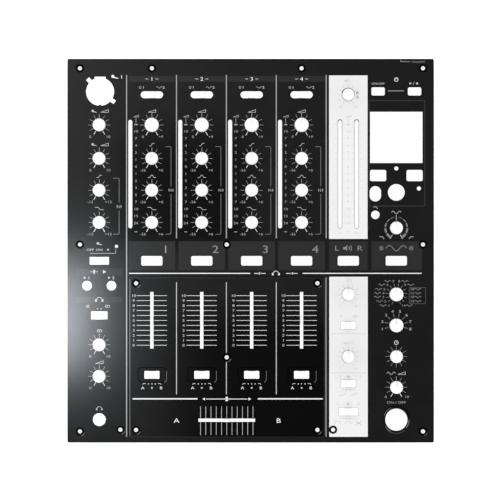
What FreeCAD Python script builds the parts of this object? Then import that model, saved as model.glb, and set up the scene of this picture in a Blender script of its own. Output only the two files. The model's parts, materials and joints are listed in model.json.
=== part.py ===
"""A four-channel DJ mixer as a parametric document.

A flat control panel with an inset fader panel carries every knob, fader, key and switch. Below it
are a sheet-steel case, one large circuit board on posts, a power supply and the rear sockets.
Millimetres; +Z is up, +Y points to the rear, and the origin is on the table under the panel's middle.
"""
import FreeCAD, Part
import math
import os
import Sketcher
from FreeCAD import Placement, Rotation, Vector

CHANNELS = (1, 2, 3, 4)
SIDES = (("left", "-"), ("right", "+"))

# Driving sizes: each one is a cell of the sheet called sizes
SIZES = {
    # Columns of the control panel, from its left edge to its right edge
    "mic_margin": 27.9,
    "mic_to_channel": 45.9,
    "channel_pitch": 43.55,
    "channel_to_master": 40.75,
    "master_to_effects": 41.9,
    "effects_margin": 32.9,
    # Rows of the control panel, from its rear edge to its front edge
    "rear_margin": 31.4,
    "selector_to_trim": 26.4,
    "trim_to_high": 29.2,
    "high_to_mid": 27.7,
    "mid_to_low": 28.1,
    "low_to_cue": 33.5,
    "cue_to_fader": 51.9,
    "fader_to_assign": 47.6,
    "assign_to_cross": 39.6,
    "front_margin": 19.6,
    "end_row_rise": 0.5,
    # Lower rows of the microphone, master and effects columns, each from the one behind it
    "cue_to_start": 21.7,
    "start_to_phones_switch": 25.9,
    "phones_switch_to_mix": 25.6,
    "mix_to_phones_level": 27.5,
    "cue_to_balance": 29.3,
    "balance_to_stereo": 27.0,
    "stereo_to_booth": 27.2,
    "booth_to_channel_curve": 23.7,
    "channel_to_cross_curve": 24.6,
    "booth_to_depth": 26.8,
    # Upper part of the effects column
    "effect_key_rise": 2.9,
    "selector_to_display": 37.2,
    "display_to_lamp": 27.1,
    "display_to_beat": 33.3,
    "beat_to_tap": 14.7,
    "tap_to_oval": 1.2,
    "tap_to_side_lamp": 3.4,
    "tap_to_filter": 19.6,
    "tap_to_frequency": 31.0,
    "key_spread": 15.9,
    "small_key_offset": 18.3,
    "side_lamp_offset": 19.7,
    # Panels
    "panel_thickness": 2.0,
    "panel_corner": 1.5,
    "fader_panel_side": 19.4,
    "fader_panel_rear": 14.9,
    "fader_panel_front": 14.5,
    "fader_panel_gap": 0.4,
    "control_gap": 0.3,
    "cut_margin": 1.0,
    # Case
    "case_height": 84.0,
    "sheet": 1.5,
    "wall_inset": 1.0,
    "rear_recess": 12.0,
    "rear_panel_gap": 0.2,
    "floor_flange": 8.0,
    "foot_height": 8.0,
    "foot_diameter": 22.0,
    "foot_taper": 2.0,
    "foot_inset": 30.0,
    "vent_width": 3.0,
    "vent_height": 30.0,
    "vent_pitch": 11.0,
    "vent_count": 12,
    # Screws, posts and board
    "screw_left_inset": 11.0,
    "screw_right_inset": 9.6,
    "screw_rear_inset": 8.3,
    "screw_front_inset": 9.8,
    "screw_inner_inset": 11.3,
    "screw_mid_rise": 14.2,
    "screw_inner_offset": 8.1,
    "fader_screw_side": 5.6,
    "fader_screw_rear": 4.7,
    "fader_screw_front": 6.0,
    "screw_head": 3.6,
    "screw_head_height": 1.1,
    "screw_shank": 2.0,
    "screw_length": 8.0,
    "screw_socket": 1.5,
    "screw_socket_depth": 0.6,
    "screw_clearance": 0.1,
    "screw_hole": 2.4,
    "counterbore": 6.5,
    "counterbore_depth": 1.3,
    "weld_nut": 7.0,
    "weld_nut_height": 3.5,
    "post_diameter": 8.0,
    "post_neck": 6.0,
    "post_bore_depth": 12.0,
    "board_lock_rise": 3.0,
    "board_post_rear": 14.5,
    "board_drop": 16.4,
    "board_thickness": 1.6,
    "board_gap": 3.5,
    "board_hole_gap": 0.2,
    # Knobs and their potentiometers
    "knob_diameter": 11.0,
    "trim_knob_diameter": 12.2,
    "master_knob_diameter": 10.5,
    "select_knob_diameter": 11.9,
    "knob_height": 14.0,
    "knob_tuck": 3.0,
    "knob_chamfer": 0.8,
    "knob_collar": 2.0,
    "flute_diameter": 1.4,
    "flute_depth": 0.35,
    "flute_count": 16,
    "pointer_width": 1.0,
    "pointer_depth": 0.9,
    "pointer_start": 1.5,
    "shaft_diameter": 6.0,
    "shaft_clearance": 0.08,
    "shaft_end_gap": 0.4,
    "pot_width": 10.0,
    "pot_height": 7.0,
    "pot_floor": 0.8,
    # Keys and their switches
    "cue_key_width": 18.5,
    "cue_key_depth": 8.4,
    "effect_key_width": 11.7,
    "effect_key_depth": 7.1,
    "beat_key_width": 14.1,
    "beat_key_depth": 9.8,
    "key_corner": 1.5,
    "oval_key_width": 9.9,
    "oval_key_depth": 13.4,
    "tap_key_diameter": 14.6,
    "filter_key_diameter": 7.4,
    "start_key_diameter": 8.3,
    "start_key_spread": 10.65,
    "on_key_diameter": 19.3,
    "on_key_dish": 24.0,
    "dish_depth": 0.6,
    "key_rise": 1.6,
    "key_travel": 1.5,
    "key_flange": 1.0,
    "key_flange_thickness": 1.2,
    "stem_diameter": 4.0,
    "stem_clearance": 0.1,
    "stem_end_gap": 0.3,
    "switch_width": 8.0,
    "switch_height": 5.0,
    "switch_floor": 0.5,
    # Slide switches
    "selector_width": 19.8,
    "selector_depth": 6.45,
    "slide_width": 13.5,
    "slide_depth": 7.2,
    "wide_slide_width": 17.3,
    "phones_slide_width": 14.8,
    "phones_slide_depth": 7.5,
    "slide_corner": 0.8,
    "slide_skirt": 1.5,
    "slide_skirt_thickness": 1.0,
    "slide_lever": 6.0,
    "slide_lever_rise": 4.0,
    "slide_stem": 3.0,
    "slide_body_width": 14.0,
    "slide_body_depth": 7.0,
    "slide_body_height": 6.0,
    "slide_body_floor": 1.0,
    "slide_track": 9.0,
    "slide_track_gap": 0.2,
    "well_width": 24.3,
    "well_depth": 13.0,
    "well_corner": 3.0,
    # Faders
    "fader_slot_length": 49.9,
    "fader_slot_width": 3.05,
    "fader_travel": 43.2,
    "fader_blade_length": 6.0,
    "fader_blade_rise": 12.0,
    "fader_blade_gap": 0.3,
    "saddle_length": 9.0,
    "saddle_wall": 1.4,
    "saddle_top": 1.0,
    "saddle_skirt": 6.0,
    "rail_width": 5.0,
    "rail_gap": 0.3,
    "rail_end": 2.0,
    "rail_base_width": 12.0,
    "rail_base_height": 3.0,
    # Display, meters and lamps
    "display_width": 45.8,
    "display_depth": 44.7,
    "display_module_height": 11.0,
    "lens_recess": 0.2,
    "lens_gap": 0.15,
    "lens_flange": 0.8,
    "lens_flange_thickness": 0.8,
    "meter_length": 94.7,
    "meter_width": 3.45,
    "meter_offset": 18.8,
    "meter_lag": 42.8,
    "master_meter_spread": 7.25,
    "meter_module_width": 5.0,
    "meter_module_height": 10.0,
    "lamp_diameter": 3.6,
    "talk_lamp_diameter": 2.8,
    "talk_lamp_offset": 15.0,
    "talk_lamp_rise": 12.6,
    # Microphone and headphone sockets
    "mic_jack_diameter": 24.5,
    "mic_jack_shift": 0.7,
    "mic_jack_rise": 2.7,
    "mic_tab_width": 9.6,
    "mic_tab_reach": 13.1,
    "mic_ear_width": 3.6,
    "mic_ear_reach": 15.8,
    "mic_ear_rear_angle": 134.0,
    "mic_ear_front_angle": -36.0,
    "mic_key_diameter": 2.2,
    "mic_insert_diameter": 16.0,
    "mic_ring_gap": 1.0,
    "mic_contact_diameter": 2.4,
    "mic_contact_radius": 4.4,
    "mic_plug_depth": 9.0,
    "mic_flange": 1.2,
    "mic_flange_thickness": 1.5,
    "mic_barrel_diameter": 22.0,
    "socket_depth": 14.0,
    "phones_collar": 10.6,
    "phones_collar_rise": 1.0,
    "phones_bore": 6.5,
    "phones_flange": 16.0,
    "phones_flange_thickness": 2.0,
    "phones_body": 13.0,
    "socket_floor": 1.5,
    # Rear sockets
    "phono_low": 26.0,
    "phono_row": 20.0,
    "phono_spread": 7.5,
    "phono_barrel": 8.3,
    "phono_flange": 11.0,
    "phono_flange_thickness": 1.5,
    "phono_reach": 9.0,
    "phono_pin_bore": 3.2,
    "socket_body": 8.0,
    "socket_hole_gap": 0.2,
    "output_rise": 38.0,
    "output_spread": 13.0,
    "output_flange": 24.0,
    "output_cup": 18.0,
    "output_reach": 5.0,
    "output_pin": 2.4,
    "output_pin_radius": 4.4,
    "link_socket_offset": 21.0,
    "link_socket_flange": 17.0,
    "link_socket_cup": 12.6,
    "record_offset": 7.0,
    "inlet_offset": 3.0,
    "inlet_width": 27.0,
    "inlet_height": 20.0,
    "inlet_wall": 2.0,
    "inlet_flange": 1.5,
    "inlet_blade": 2.0,
    "inlet_blade_pitch": 6.8,
    "power_key_offset": 21.0,
    "power_key_width": 11.0,
    "power_key_height": 18.0,
    "power_key_rise": 3.0,
    # Power supply
    "supply_width": 96.0,
    "supply_depth": 74.0,
    "supply_plate": 2.0,
    "supply_side_gap": 14.0,
    "supply_rear_gap": 26.0,
    "coil_diameter": 60.0,
    "coil_height": 34.0,
    "coil_core": 14.0,
    "coil_inset": 4.0,
    "capacitor_diameter": 16.0,
    "capacitor_height": 28.0,
    "capacitor_pitch": 20.0,
    "capacitor_inset": 16.0,
    "capacitor_count": 3,
}

# Places worked out from the sizes: each one is a formula in the sheet called places
PLACES = {
    "panel_width": "sizes.mic_margin + sizes.mic_to_channel + 3 * sizes.channel_pitch"
    " + sizes.channel_to_master + sizes.master_to_effects + sizes.effects_margin",
    "panel_depth": "sizes.rear_margin + sizes.selector_to_trim + sizes.trim_to_high + sizes.high_to_mid"
    " + sizes.mid_to_low + sizes.low_to_cue + sizes.cue_to_fader + sizes.fader_to_assign"
    " + sizes.assign_to_cross + sizes.front_margin",
    "mic_x": "sizes.mic_margin - panel_width / 2",
    "channel_x": "mic_x + sizes.mic_to_channel",
    "channels_mid": "channel_x + 1.5 * sizes.channel_pitch",
    "master_x": "channel_x + 3 * sizes.channel_pitch + sizes.channel_to_master",
    "effects_x": "master_x + sizes.master_to_effects",
    "selector_y": "panel_depth / 2 - sizes.rear_margin",
    "trim_y": "selector_y - sizes.selector_to_trim",
    "high_y": "trim_y - sizes.trim_to_high",
    "mid_y": "high_y - sizes.high_to_mid",
    "low_y": "mid_y - sizes.mid_to_low",
    "cue_y": "low_y - sizes.low_to_cue",
    "fader_y": "cue_y - sizes.cue_to_fader",
    "assign_y": "fader_y - sizes.fader_to_assign",
    "cross_y": "assign_y - sizes.assign_to_cross",
    "end_row_y": "cross_y + sizes.end_row_rise",
    "start_y": "cue_y - sizes.cue_to_start",
    "phones_switch_y": "start_y - sizes.start_to_phones_switch",
    "phones_mix_y": "phones_switch_y - sizes.phones_switch_to_mix",
    "phones_level_y": "phones_mix_y - sizes.mix_to_phones_level",
    "balance_y": "cue_y - sizes.cue_to_balance",
    "stereo_y": "balance_y - sizes.balance_to_stereo",
    "booth_y": "stereo_y - sizes.stereo_to_booth",
    "channel_curve_y": "booth_y - sizes.booth_to_channel_curve",
    "cross_curve_y": "channel_curve_y - sizes.channel_to_cross_curve",
    "depth_y": "booth_y - sizes.booth_to_depth",
    "display_y": "selector_y - sizes.selector_to_display",
    "beat_y": "display_y - sizes.display_to_beat",
    "tap_y": "beat_y - sizes.beat_to_tap",
    "meter_y": "trim_y - sizes.meter_lag",
    "fader_panel_width": "3 * sizes.channel_pitch + 2 * sizes.fader_panel_side",
    "fader_panel_top": "cue_y - sizes.fader_panel_rear",
    "fader_panel_bottom": "cross_y - sizes.fader_panel_front",
    "fader_panel_depth": "fader_panel_top - fader_panel_bottom",
    "fader_panel_y": "(fader_panel_top + fader_panel_bottom) / 2",
    "tray_width": "panel_width - 2 * sizes.wall_inset",
    "tray_depth": "panel_depth - 2 * sizes.wall_inset",
    "inner_width": "tray_width - 2 * sizes.sheet",
    "rear_y": "panel_depth / 2 - sizes.rear_recess",
    "floor_top": "sizes.foot_height + sizes.sheet",
    "panel_under": "sizes.foot_height + sizes.case_height",
    "panel_top": "panel_under + sizes.panel_thickness",
    "board_top": "panel_under - sizes.board_drop",
    "board_under": "board_top - sizes.board_thickness",
    "board_front": "sizes.wall_inset + sizes.sheet + sizes.board_gap - panel_depth / 2",
    "board_rear": "rear_y - sizes.sheet - sizes.board_gap",
    "screw_left": "sizes.screw_left_inset - panel_width / 2",
    "screw_right": "panel_width / 2 - sizes.screw_right_inset",
    "screw_rear_y": "panel_depth / 2 - sizes.screw_rear_inset",
    "screw_mid_y": "cue_y + sizes.screw_mid_rise",
    "screw_front_y": "sizes.screw_front_inset - panel_depth / 2",
    "screw_inner_y": "sizes.screw_inner_inset - panel_depth / 2",
    "board_post_y": "rear_y - sizes.sheet - sizes.board_post_rear",
    "output_z": "floor_top + sizes.output_rise",
    "phono_z": "floor_top + sizes.phono_low",
    "supply_x": "inner_width / 2 - sizes.supply_side_gap - sizes.supply_width / 2",
    "supply_y": "rear_y - sizes.sheet - sizes.supply_rear_gap - sizes.supply_depth / 2",
}

doc = FreeCAD.newDocument("dj_mixer")
nodes = []


def fill_sheet(name, cells):
    """A sheet with one aliased cell for each name."""
    sheet = doc.addObject("Spreadsheet::Sheet", name)
    for row, (alias, content) in enumerate(cells.items(), 1):
        sheet.set(f"A{row}", alias)
        sheet.set(f"B{row}", content)
        sheet.setAlias(f"B{row}", alias)
    doc.recompute()
    return sheet


sizes = fill_sheet("sizes", {alias: str(number) for alias, number in SIZES.items()})
places = fill_sheet("places", {alias: f"={formula}" for alias, formula in PLACES.items()})


def number(formula):
    """The present value of a formula."""
    return float(places.evalExpression(formula))


def bind(item, **formulas):
    """Tie properties to formulas, with a double underscore for each dot of the property's path."""
    for path, formula in formulas.items():
        item.setExpression(path.replace("__", "."), formula)
    return item


def node(item, label):
    """Register an object as a sub-part: its label names its file."""
    item.Label = label
    nodes.append(item)
    return item


def box(name, width, depth, bottom, top, x="0", y="0"):
    """Upright block centred on x and y."""
    item = doc.addObject("Part::Box", name)
    return bind(
        item,
        Length=width,
        Width=depth,
        Height=f"{top} - ({bottom})",
        Placement__Base__x=f"{x} - ({width}) / 2",
        Placement__Base__y=f"{y} - ({depth}) / 2",
        Placement__Base__z=bottom,
    )


def cylinder(name, diameter, bottom, top, x="0", y="0"):
    """Upright cylinder on x and y."""
    item = doc.addObject("Part::Cylinder", name)
    return bind(
        item,
        Radius=f"({diameter}) / 2",
        Height=f"{top} - ({bottom})",
        Placement__Base__x=x,
        Placement__Base__y=y,
        Placement__Base__z=bottom,
    )


def fuse(name, *members):
    """One solid from several that overlap or touch."""
    item = doc.addObject("Part::MultiFuse", name)
    item.Shapes = list(members)
    return item


def cut(name, base, tool):
    """The base without the tool."""
    item = doc.addObject("Part::Cut", name)
    item.Base = base
    item.Tool = tool
    return item


def group(name, members):
    """Separate solids kept together."""
    item = doc.addObject("Part::Compound", name)
    item.Links = list(members)
    return item


def copy(source, name, x="0", y="0", z="0", angle=0.0):
    """A linked copy of a source that was built at the origin, turned about Z and moved."""
    item = doc.addObject("App::Link", name)
    item.LinkedObject = source
    item.LinkTransform = True
    item.Placement = Placement(Vector(), Rotation(Vector(0, 0, 1), angle))
    return bind(item, Placement__Base__x=x, Placement__Base__y=y, Placement__Base__z=z)


def copies(source, name, spots):
    """Numbered copies of a source at pairs of formulas."""
    return [copy(source, f"{name}_{place}", x, y) for place, (x, y) in enumerate(spots, 1)]


def origin_feature(body, role):
    """A plane or axis of the body's own origin."""
    return next(feature for feature in body.Origin.OriginFeatures if feature.Role == role)


def sketch_on(body, name, role, offset="0"):
    """A sketch on one of the body's origin planes, moved along the plane's normal."""
    sketch = body.newObject("Sketcher::SketchObject", name)
    sketch.AttachmentSupport = [(origin_feature(body, role), "")]
    sketch.MapMode = "FlatFace"
    return bind(sketch, AttachmentOffset__Base__z=offset)


def pin(sketch, geometry, point, x, y):
    """Hold a sketch point at two formulas; a plain 0 puts it on the axis."""
    for formula, kind, axis in ((x, "DistanceX", -2), (y, "DistanceY", -1)):
        if formula == "0":
            sketch.addConstraint(Sketcher.Constraint("PointOnObject", geometry, point, axis))
            continue
        rule = Sketcher.Constraint(kind, -1, 1, geometry, point, number(formula))
        sketch.setExpression(f"Constraints[{sketch.addConstraint(rule)}]", formula)


def polygon(sketch, points):
    """Closed outline with its corners pinned to pairs of formulas."""
    corners = [Vector(number(x), number(y), 0) for x, y in points]
    lines = [Part.LineSegment(a, b) for a, b in zip(corners, corners[1:] + corners[:1])]
    indices = sketch.addGeometry(lines, False)
    for place, (index, (x, y)) in enumerate(zip(indices, points)):
        sketch.addConstraint(Sketcher.Constraint("Coincident", indices[place - 1], 2, index, 1))
        pin(sketch, index, 1, x, y)


def rectangle(width, depth, x="0", y="0"):
    """Corners of a rectangle centred on x and y."""
    left, right = f"{x} - ({width}) / 2", f"{x} + ({width}) / 2"
    front, rear = f"{y} - ({depth}) / 2", f"{y} + ({depth}) / 2"
    return [(left, front), (right, front), (right, rear), (left, rear)]


def slot(sketch, length, width):
    """Round-ended slot along the sketch's X axis, centred on the origin."""
    radius = number(width) / 2
    reach = number(length) / 2 - radius
    left, right, up = Vector(-reach, 0, 0), Vector(reach, 0, 0), Vector(0, 0, 1)
    quarter = math.pi / 2
    first, second, low, high = sketch.addGeometry(
        [
            Part.ArcOfCircle(Part.Circle(left, up, radius), quarter, 3 * quarter),
            Part.ArcOfCircle(Part.Circle(right, up, radius), -quarter, quarter),
            Part.LineSegment(Vector(-reach, -radius, 0), Vector(reach, -radius, 0)),
            Part.LineSegment(Vector(reach, radius, 0), Vector(-reach, radius, 0)),
        ],
        False,
    )
    for start, end in ((first, low), (low, second), (second, high), (high, first)):
        sketch.addConstraint(Sketcher.Constraint("Tangent", start, 2, end, 1))
    sketch.addConstraint(Sketcher.Constraint("Equal", first, second))
    pin(sketch, first, 3, f"(({width}) - ({length})) / 2", "0")
    pin(sketch, second, 3, f"(({length}) - ({width})) / 2", "0")
    rule = sketch.addConstraint(Sketcher.Constraint("Radius", first, radius))
    sketch.setExpression(f"Constraints[{rule}]", f"({width}) / 2")


def pad(body, name, sketch, length):
    """Pad a sketch along its normal."""
    feature = body.newObject("PartDesign::Pad", name)
    feature.Profile = sketch
    return bind(feature, Length=length)


def pocket(body, name, sketch, length):
    """Cut a sketch against its normal."""
    feature = body.newObject("PartDesign::Pocket", name)
    feature.Profile = sketch
    return bind(feature, Length=length)


def revolved(name, points, role="XZ_Plane"):
    """Body turned from a profile of radius and height about the sketch's upright axis."""
    body = doc.addObject("PartDesign::Body", name)
    profile = sketch_on(body, f"{name}_profile", role)
    polygon(profile, points)
    turned = body.newObject("PartDesign::Revolution", f"{name}_turned")
    turned.Profile = profile
    turned.ReferenceAxis = (profile, ["V_Axis"])
    turned.Angle = 360
    return body


def slot_block(name, length, width, bottom, top):
    """Upright round-ended block along X."""
    body = doc.addObject("PartDesign::Body", name)
    outline = sketch_on(body, f"{name}_outline", "XY_Plane", bottom)
    slot(outline, length, width)
    pad(body, f"{name}_pad", outline, f"{top} - ({bottom})")
    return body


def rounded_block(name, width, depth, bottom, top, corner):
    """Upright block with rounded corners."""
    body = doc.addObject("PartDesign::Body", name)
    outline = sketch_on(body, f"{name}_outline", "XY_Plane", bottom)
    polygon(outline, rectangle(width, depth))
    block = pad(body, f"{name}_pad", outline, f"{top} - ({bottom})")
    doc.recompute()
    upright = [
        f"Edge{index}"
        for index, edge in enumerate(block.Shape.Edges, 1)
        if abs(edge.Vertexes[0].Z - edge.Vertexes[1].Z) > edge.Length / 2
    ]
    corners = body.newObject("PartDesign::Fillet", f"{name}_corners")
    corners.Base = (block, upright)
    bind(corners, Radius=corner)
    return body


def channel_x(channel):
    """Formula for the middle of a channel's column."""
    return f"places.channel_x + {channel - 1} * sizes.channel_pitch"


# Where the controls are: name, kind, column and row
KNOBS = [
    ("mic_level_knob_1", "knob", "places.mic_x", "places.trim_y"),
    ("mic_level_knob_2", "knob", "places.mic_x", "places.high_y"),
    ("mic_high_knob", "knob", "places.mic_x", "places.mid_y"),
    ("mic_low_knob", "knob", "places.mic_x", "places.low_y"),
    ("headphone_mix_knob", "knob", "places.mic_x", "places.phones_mix_y"),
    ("headphone_level_knob", "knob", "places.mic_x", "places.phones_level_y"),
    ("master_level_knob", "master_knob", "places.master_x", "places.selector_y"),
    ("balance_knob", "knob", "places.master_x", "places.balance_y"),
    ("booth_level_knob", "knob", "places.master_x", "places.booth_y"),
    ("filter_frequency_knob", "knob", "places.effects_x", "places.tap_y - sizes.tap_to_frequency"),
    ("effect_select_knob", "select_knob", "places.effects_x", "places.balance_y"),
    ("effect_channel_knob", "select_knob", "places.effects_x", "places.stereo_y"),
    ("effect_time_knob", "knob", "places.effects_x", "places.booth_y"),
    ("effect_depth_knob", "knob", "places.effects_x", "places.depth_y"),
]
for n in CHANNELS:
    KNOBS += [
        (f"trim_knob_{n}", "trim_knob", channel_x(n), "places.trim_y"),
        (f"high_knob_{n}", "knob", channel_x(n), "places.high_y"),
        (f"mid_knob_{n}", "knob", channel_x(n), "places.mid_y"),
        (f"low_knob_{n}", "knob", channel_x(n), "places.low_y"),
    ]

MOVING_KEYS = [(f"cue_button_{n}", "cue_key", channel_x(n), "places.cue_y") for n in CHANNELS]
MOVING_KEYS += [
    ("cue_button_master", "cue_key", "places.master_x", "places.cue_y"),
    ("cue_button_effects", "cue_key", "places.effects_x", "places.cue_y"),
    ("effect_on_button", "on_key", "places.effects_x", "places.end_row_y"),
]

small_key_x = "places.effects_x - sizes.small_key_offset"
FIXED_KEYS = [
    ("filter_key", "filter_key", small_key_x, "places.tap_y - sizes.tap_to_filter"),
    ("oval_key", "oval_key", small_key_x, "places.tap_y - sizes.tap_to_oval"),
    ("tap_key", "tap_key", "places.effects_x", "places.tap_y"),
]
for side, sign in SIDES:
    spread_x = f"places.effects_x {sign} sizes.key_spread"
    start_x = f"places.mic_x {sign} sizes.start_key_spread"
    FIXED_KEYS += [
        (f"effect_key_{side}", "effect_key", spread_x, "places.selector_y + sizes.effect_key_rise"),
        (f"beat_key_{side}", "beat_key", spread_x, "places.beat_y"),
        (f"start_key_{side}", "start_key", start_x, "places.start_y"),
    ]

PANEL_SLIDES = [(f"selector_{n}", "selector", channel_x(n), "places.selector_y") for n in CHANNELS]
PANEL_SLIDES += [
    ("mic_switch", "wide_slide", "places.mic_x", "places.cue_y"),
    ("headphone_switch", "phones_slide", "places.mic_x", "places.phones_switch_y"),
    ("stereo_switch", "slide", "places.master_x", "places.stereo_y"),
    ("channel_curve_switch", "slide", "places.master_x", "places.channel_curve_y"),
    ("cross_curve_switch", "wide_slide", "places.master_x", "places.cross_curve_y"),
]
ASSIGN_SLIDES = [(f"assign_{n}", "slide", channel_x(n), "places.assign_y") for n in CHANNELS]

# Faders: name, place and the turn of the slot
FADERS = [(f"channel_fader_{n}", channel_x(n), "places.fader_y", 0.0) for n in CHANNELS]
FADERS += [("crossfader", "places.channels_mid", "places.cross_y", 90.0)]

METERS = [(f"meter_{n}", f"{channel_x(n)} - sizes.meter_offset") for n in CHANNELS]
for side, sign in SIDES:
    METERS.append((f"master_meter_{side}", f"places.master_x {sign} sizes.master_meter_spread"))

side_lamp_x = "places.effects_x + sizes.side_lamp_offset"
talk_lamp_x = "places.mic_x + sizes.talk_lamp_offset"
LAMPS = [
    ("display_lamp", "lamp", "places.effects_x", "places.display_y - sizes.display_to_lamp"),
    ("side_lamp", "lamp", side_lamp_x, "places.tap_y + sizes.tap_to_side_lamp"),
    ("talk_lamp", "talk_lamp", talk_lamp_x, "places.cue_y + sizes.talk_lamp_rise"),
]

# Screws: four into the rear flange, the rest into posts
INNER_SCREW = "(places.fader_panel_width / 2 + sizes.screw_inner_offset)"
FADER_SCREW_X = "(places.fader_panel_width / 2 - sizes.fader_screw_side)"
LEFT, RIGHT = "places.screw_left", "places.screw_right"
REAR_SCREWS = [(x, "places.screw_rear_y") for x in (LEFT, channel_x(1), channel_x(4), RIGHT)]
PANEL_POSTS = [(x, "places.screw_mid_y") for x in (LEFT, "places.channels_mid", RIGHT)]
INNER_LEFT = f"places.channels_mid - {INNER_SCREW}"
INNER_RIGHT = f"places.channels_mid + {INNER_SCREW}"
PANEL_POSTS += [(x, "places.screw_front_y") for x in (LEFT, RIGHT)]
PANEL_POSTS += [(x, "places.screw_inner_y") for x in (INNER_LEFT, INNER_RIGHT)]
FADER_POSTS = [("places.channels_mid", "places.fader_panel_y")]
FADER_POSTS += [
    (f"places.channels_mid {side} {FADER_SCREW_X}", y)
    for side in ("-", "+")
    for y in (
        "places.fader_panel_top - sizes.fader_screw_rear",
        "places.fader_panel_bottom + sizes.fader_screw_front",
    )
]
BOARD_POSTS = [
    (x, "places.board_post_y")
    for x in (
        f"{channel_x(1)} - sizes.channel_pitch / 2",
        "places.channels_mid",
        f"{channel_x(4)} + sizes.channel_pitch / 2",
    )
]

# Levels that many pieces share
CUT_BOTTOM = "places.panel_under - sizes.cut_margin"
CUT_TOP = "places.panel_top + sizes.cut_margin"
KEY_FLANGE_TOP = "places.panel_under - sizes.control_gap"
KEY_TOP = "places.panel_top + sizes.key_rise"
LENS_TOP = "places.panel_top - sizes.lens_recess"


def make_knob(kind):
    """Fluted knob with a pointer groove, on its shaft."""
    radius = f"sizes.{kind}_diameter / 2"
    cap_top = "places.panel_top + sizes.knob_height"
    cap_bottom = "places.panel_under - sizes.knob_tuck"
    shaft = "sizes.shaft_diameter / 2"
    shaft_end = "places.board_top + sizes.pot_floor + sizes.shaft_end_gap"
    body = revolved(
        kind,
        [
            ("0", shaft_end),
            (shaft, shaft_end),
            (shaft, cap_bottom),
            (radius, cap_bottom),
            (radius, f"{cap_top} - sizes.knob_chamfer"),
            (f"{radius} - sizes.knob_chamfer", cap_top),
            ("0", cap_top),
        ],
    )
    groove = sketch_on(body, f"{kind}_groove", "XY_Plane", cap_top)
    reach = f"({radius} + sizes.cut_margin)"
    middle = f"(sizes.pointer_start + {reach}) / 2"
    polygon(groove, rectangle("sizes.pointer_width", f"{reach} - sizes.pointer_start", y=middle))
    pocket(body, f"{kind}_pointer", groove, "sizes.pointer_depth")
    flute = sketch_on(body, f"{kind}_flute", "XY_Plane", cap_top)
    round_cut = flute.addGeometry(Part.Circle(Vector(number(radius), 0, 0), Vector(0, 0, 1), 1.0), False)
    wide = flute.addConstraint(Sketcher.Constraint("Diameter", round_cut, number("sizes.flute_diameter")))
    flute.setExpression(f"Constraints[{wide}]", "sizes.flute_diameter")
    pin(flute, round_cut, 3, f"{radius} + sizes.flute_diameter / 2 - sizes.flute_depth", "0")
    first = pocket(body, f"{kind}_first_flute", flute, "sizes.knob_height - sizes.knob_collar")
    flutes = body.newObject("PartDesign::PolarPattern", f"{kind}_flutes")
    flutes.Originals = [first]
    flutes.Axis = (origin_feature(body, "Z_Axis"), [""])
    flutes.Angle = 360
    bind(flutes, Occurrences="sizes.flute_count")
    body.Tip = flutes
    return body


def make_key(kind):
    """Key cap with a flange under the panel and a stem into its switch; also the opening for it."""
    cap_bottom = f"{KEY_FLANGE_TOP} - sizes.key_flange_thickness"
    levels = (cap_bottom, KEY_TOP)
    opening_levels = (CUT_BOTTOM, CUT_TOP)
    gap, flange = "2 * sizes.control_gap", "2 * sizes.key_flange"
    flange_levels = (cap_bottom, KEY_FLANGE_TOP)
    if kind in ("cue_key", "effect_key", "beat_key"):
        width, depth = f"sizes.{kind}_width", f"sizes.{kind}_depth"
        cap = rounded_block(f"{kind}_cap", width, depth, *levels, "sizes.key_corner")
        opening = rounded_block(
            f"{kind}_opening", f"{width} + {gap}", f"{depth} + {gap}", *opening_levels, "sizes.key_corner"
        )
        ledge = box(f"{kind}_ledge", f"{width} + {flange}", f"{depth} + {flange}", *flange_levels)
    elif kind == "oval_key":
        long, short = "sizes.oval_key_depth", "sizes.oval_key_width"
        upright = slot_block("oval_key_upright", long, short, *levels)
        cap = copy(upright, "oval_key_cap", angle=90.0)
        clear = slot_block("oval_key_clear", f"{long} + {gap}", f"{short} + {gap}", *opening_levels)
        opening = copy(clear, "oval_key_opening", angle=90.0)
        ledge = box("oval_key_ledge", f"{short} + {flange}", f"{long} + {flange}", *flange_levels)
    else:
        diameter = f"sizes.{kind}_diameter"
        cap = cylinder(f"{kind}_cap", diameter, *levels)
        opening = cylinder(f"{kind}_opening", f"{diameter} + {gap}", *opening_levels)
        ledge = cylinder(f"{kind}_ledge", f"{diameter} + {flange}", *flange_levels)
    stem_end = "places.board_top + sizes.switch_floor + sizes.key_travel + sizes.stem_end_gap"
    stem = cylinder(f"{kind}_stem", "sizes.stem_diameter", stem_end, cap_bottom)
    return fuse(kind, cap, ledge, stem), opening


def make_slide(kind):
    """Slide switch lever with the skirt that closes its opening; also the opening."""
    depth_name = "slide" if kind == "wide_slide" else kind
    width, depth = f"sizes.{kind}_width", f"sizes.{depth_name}_depth"
    if kind == "selector":
        opening = slot_block("selector_opening", width, depth, CUT_BOTTOM, CUT_TOP)
    else:
        opening = rounded_block(f"{kind}_opening", width, depth, CUT_BOTTOM, CUT_TOP, "sizes.slide_corner")
    skirt_bottom = f"{KEY_FLANGE_TOP} - sizes.slide_skirt_thickness"
    margin = "2 * sizes.slide_skirt"
    skirt = box(f"{kind}_skirt", f"{width} + {margin}", f"{depth} + {margin}", skirt_bottom, KEY_FLANGE_TOP)
    lever_depth = f"{depth} - 2 * sizes.control_gap"
    lever_top = "places.panel_top + sizes.slide_lever_rise"
    lever = box(f"{kind}_lever", "sizes.slide_lever", lever_depth, KEY_FLANGE_TOP, lever_top)
    stem_end = "places.board_top + sizes.slide_body_floor"
    stem = box(f"{kind}_stem", "sizes.slide_stem", "sizes.slide_stem", stem_end, skirt_bottom)
    return fuse(kind, skirt, lever, stem), opening


KEYS = MOVING_KEYS + FIXED_KEYS
SLIDES = PANEL_SLIDES + ASSIGN_SLIDES


def kinds(controls):
    """The kinds of control in a list, each once."""
    return sorted({kind for _, kind, _, _ in controls})


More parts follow.
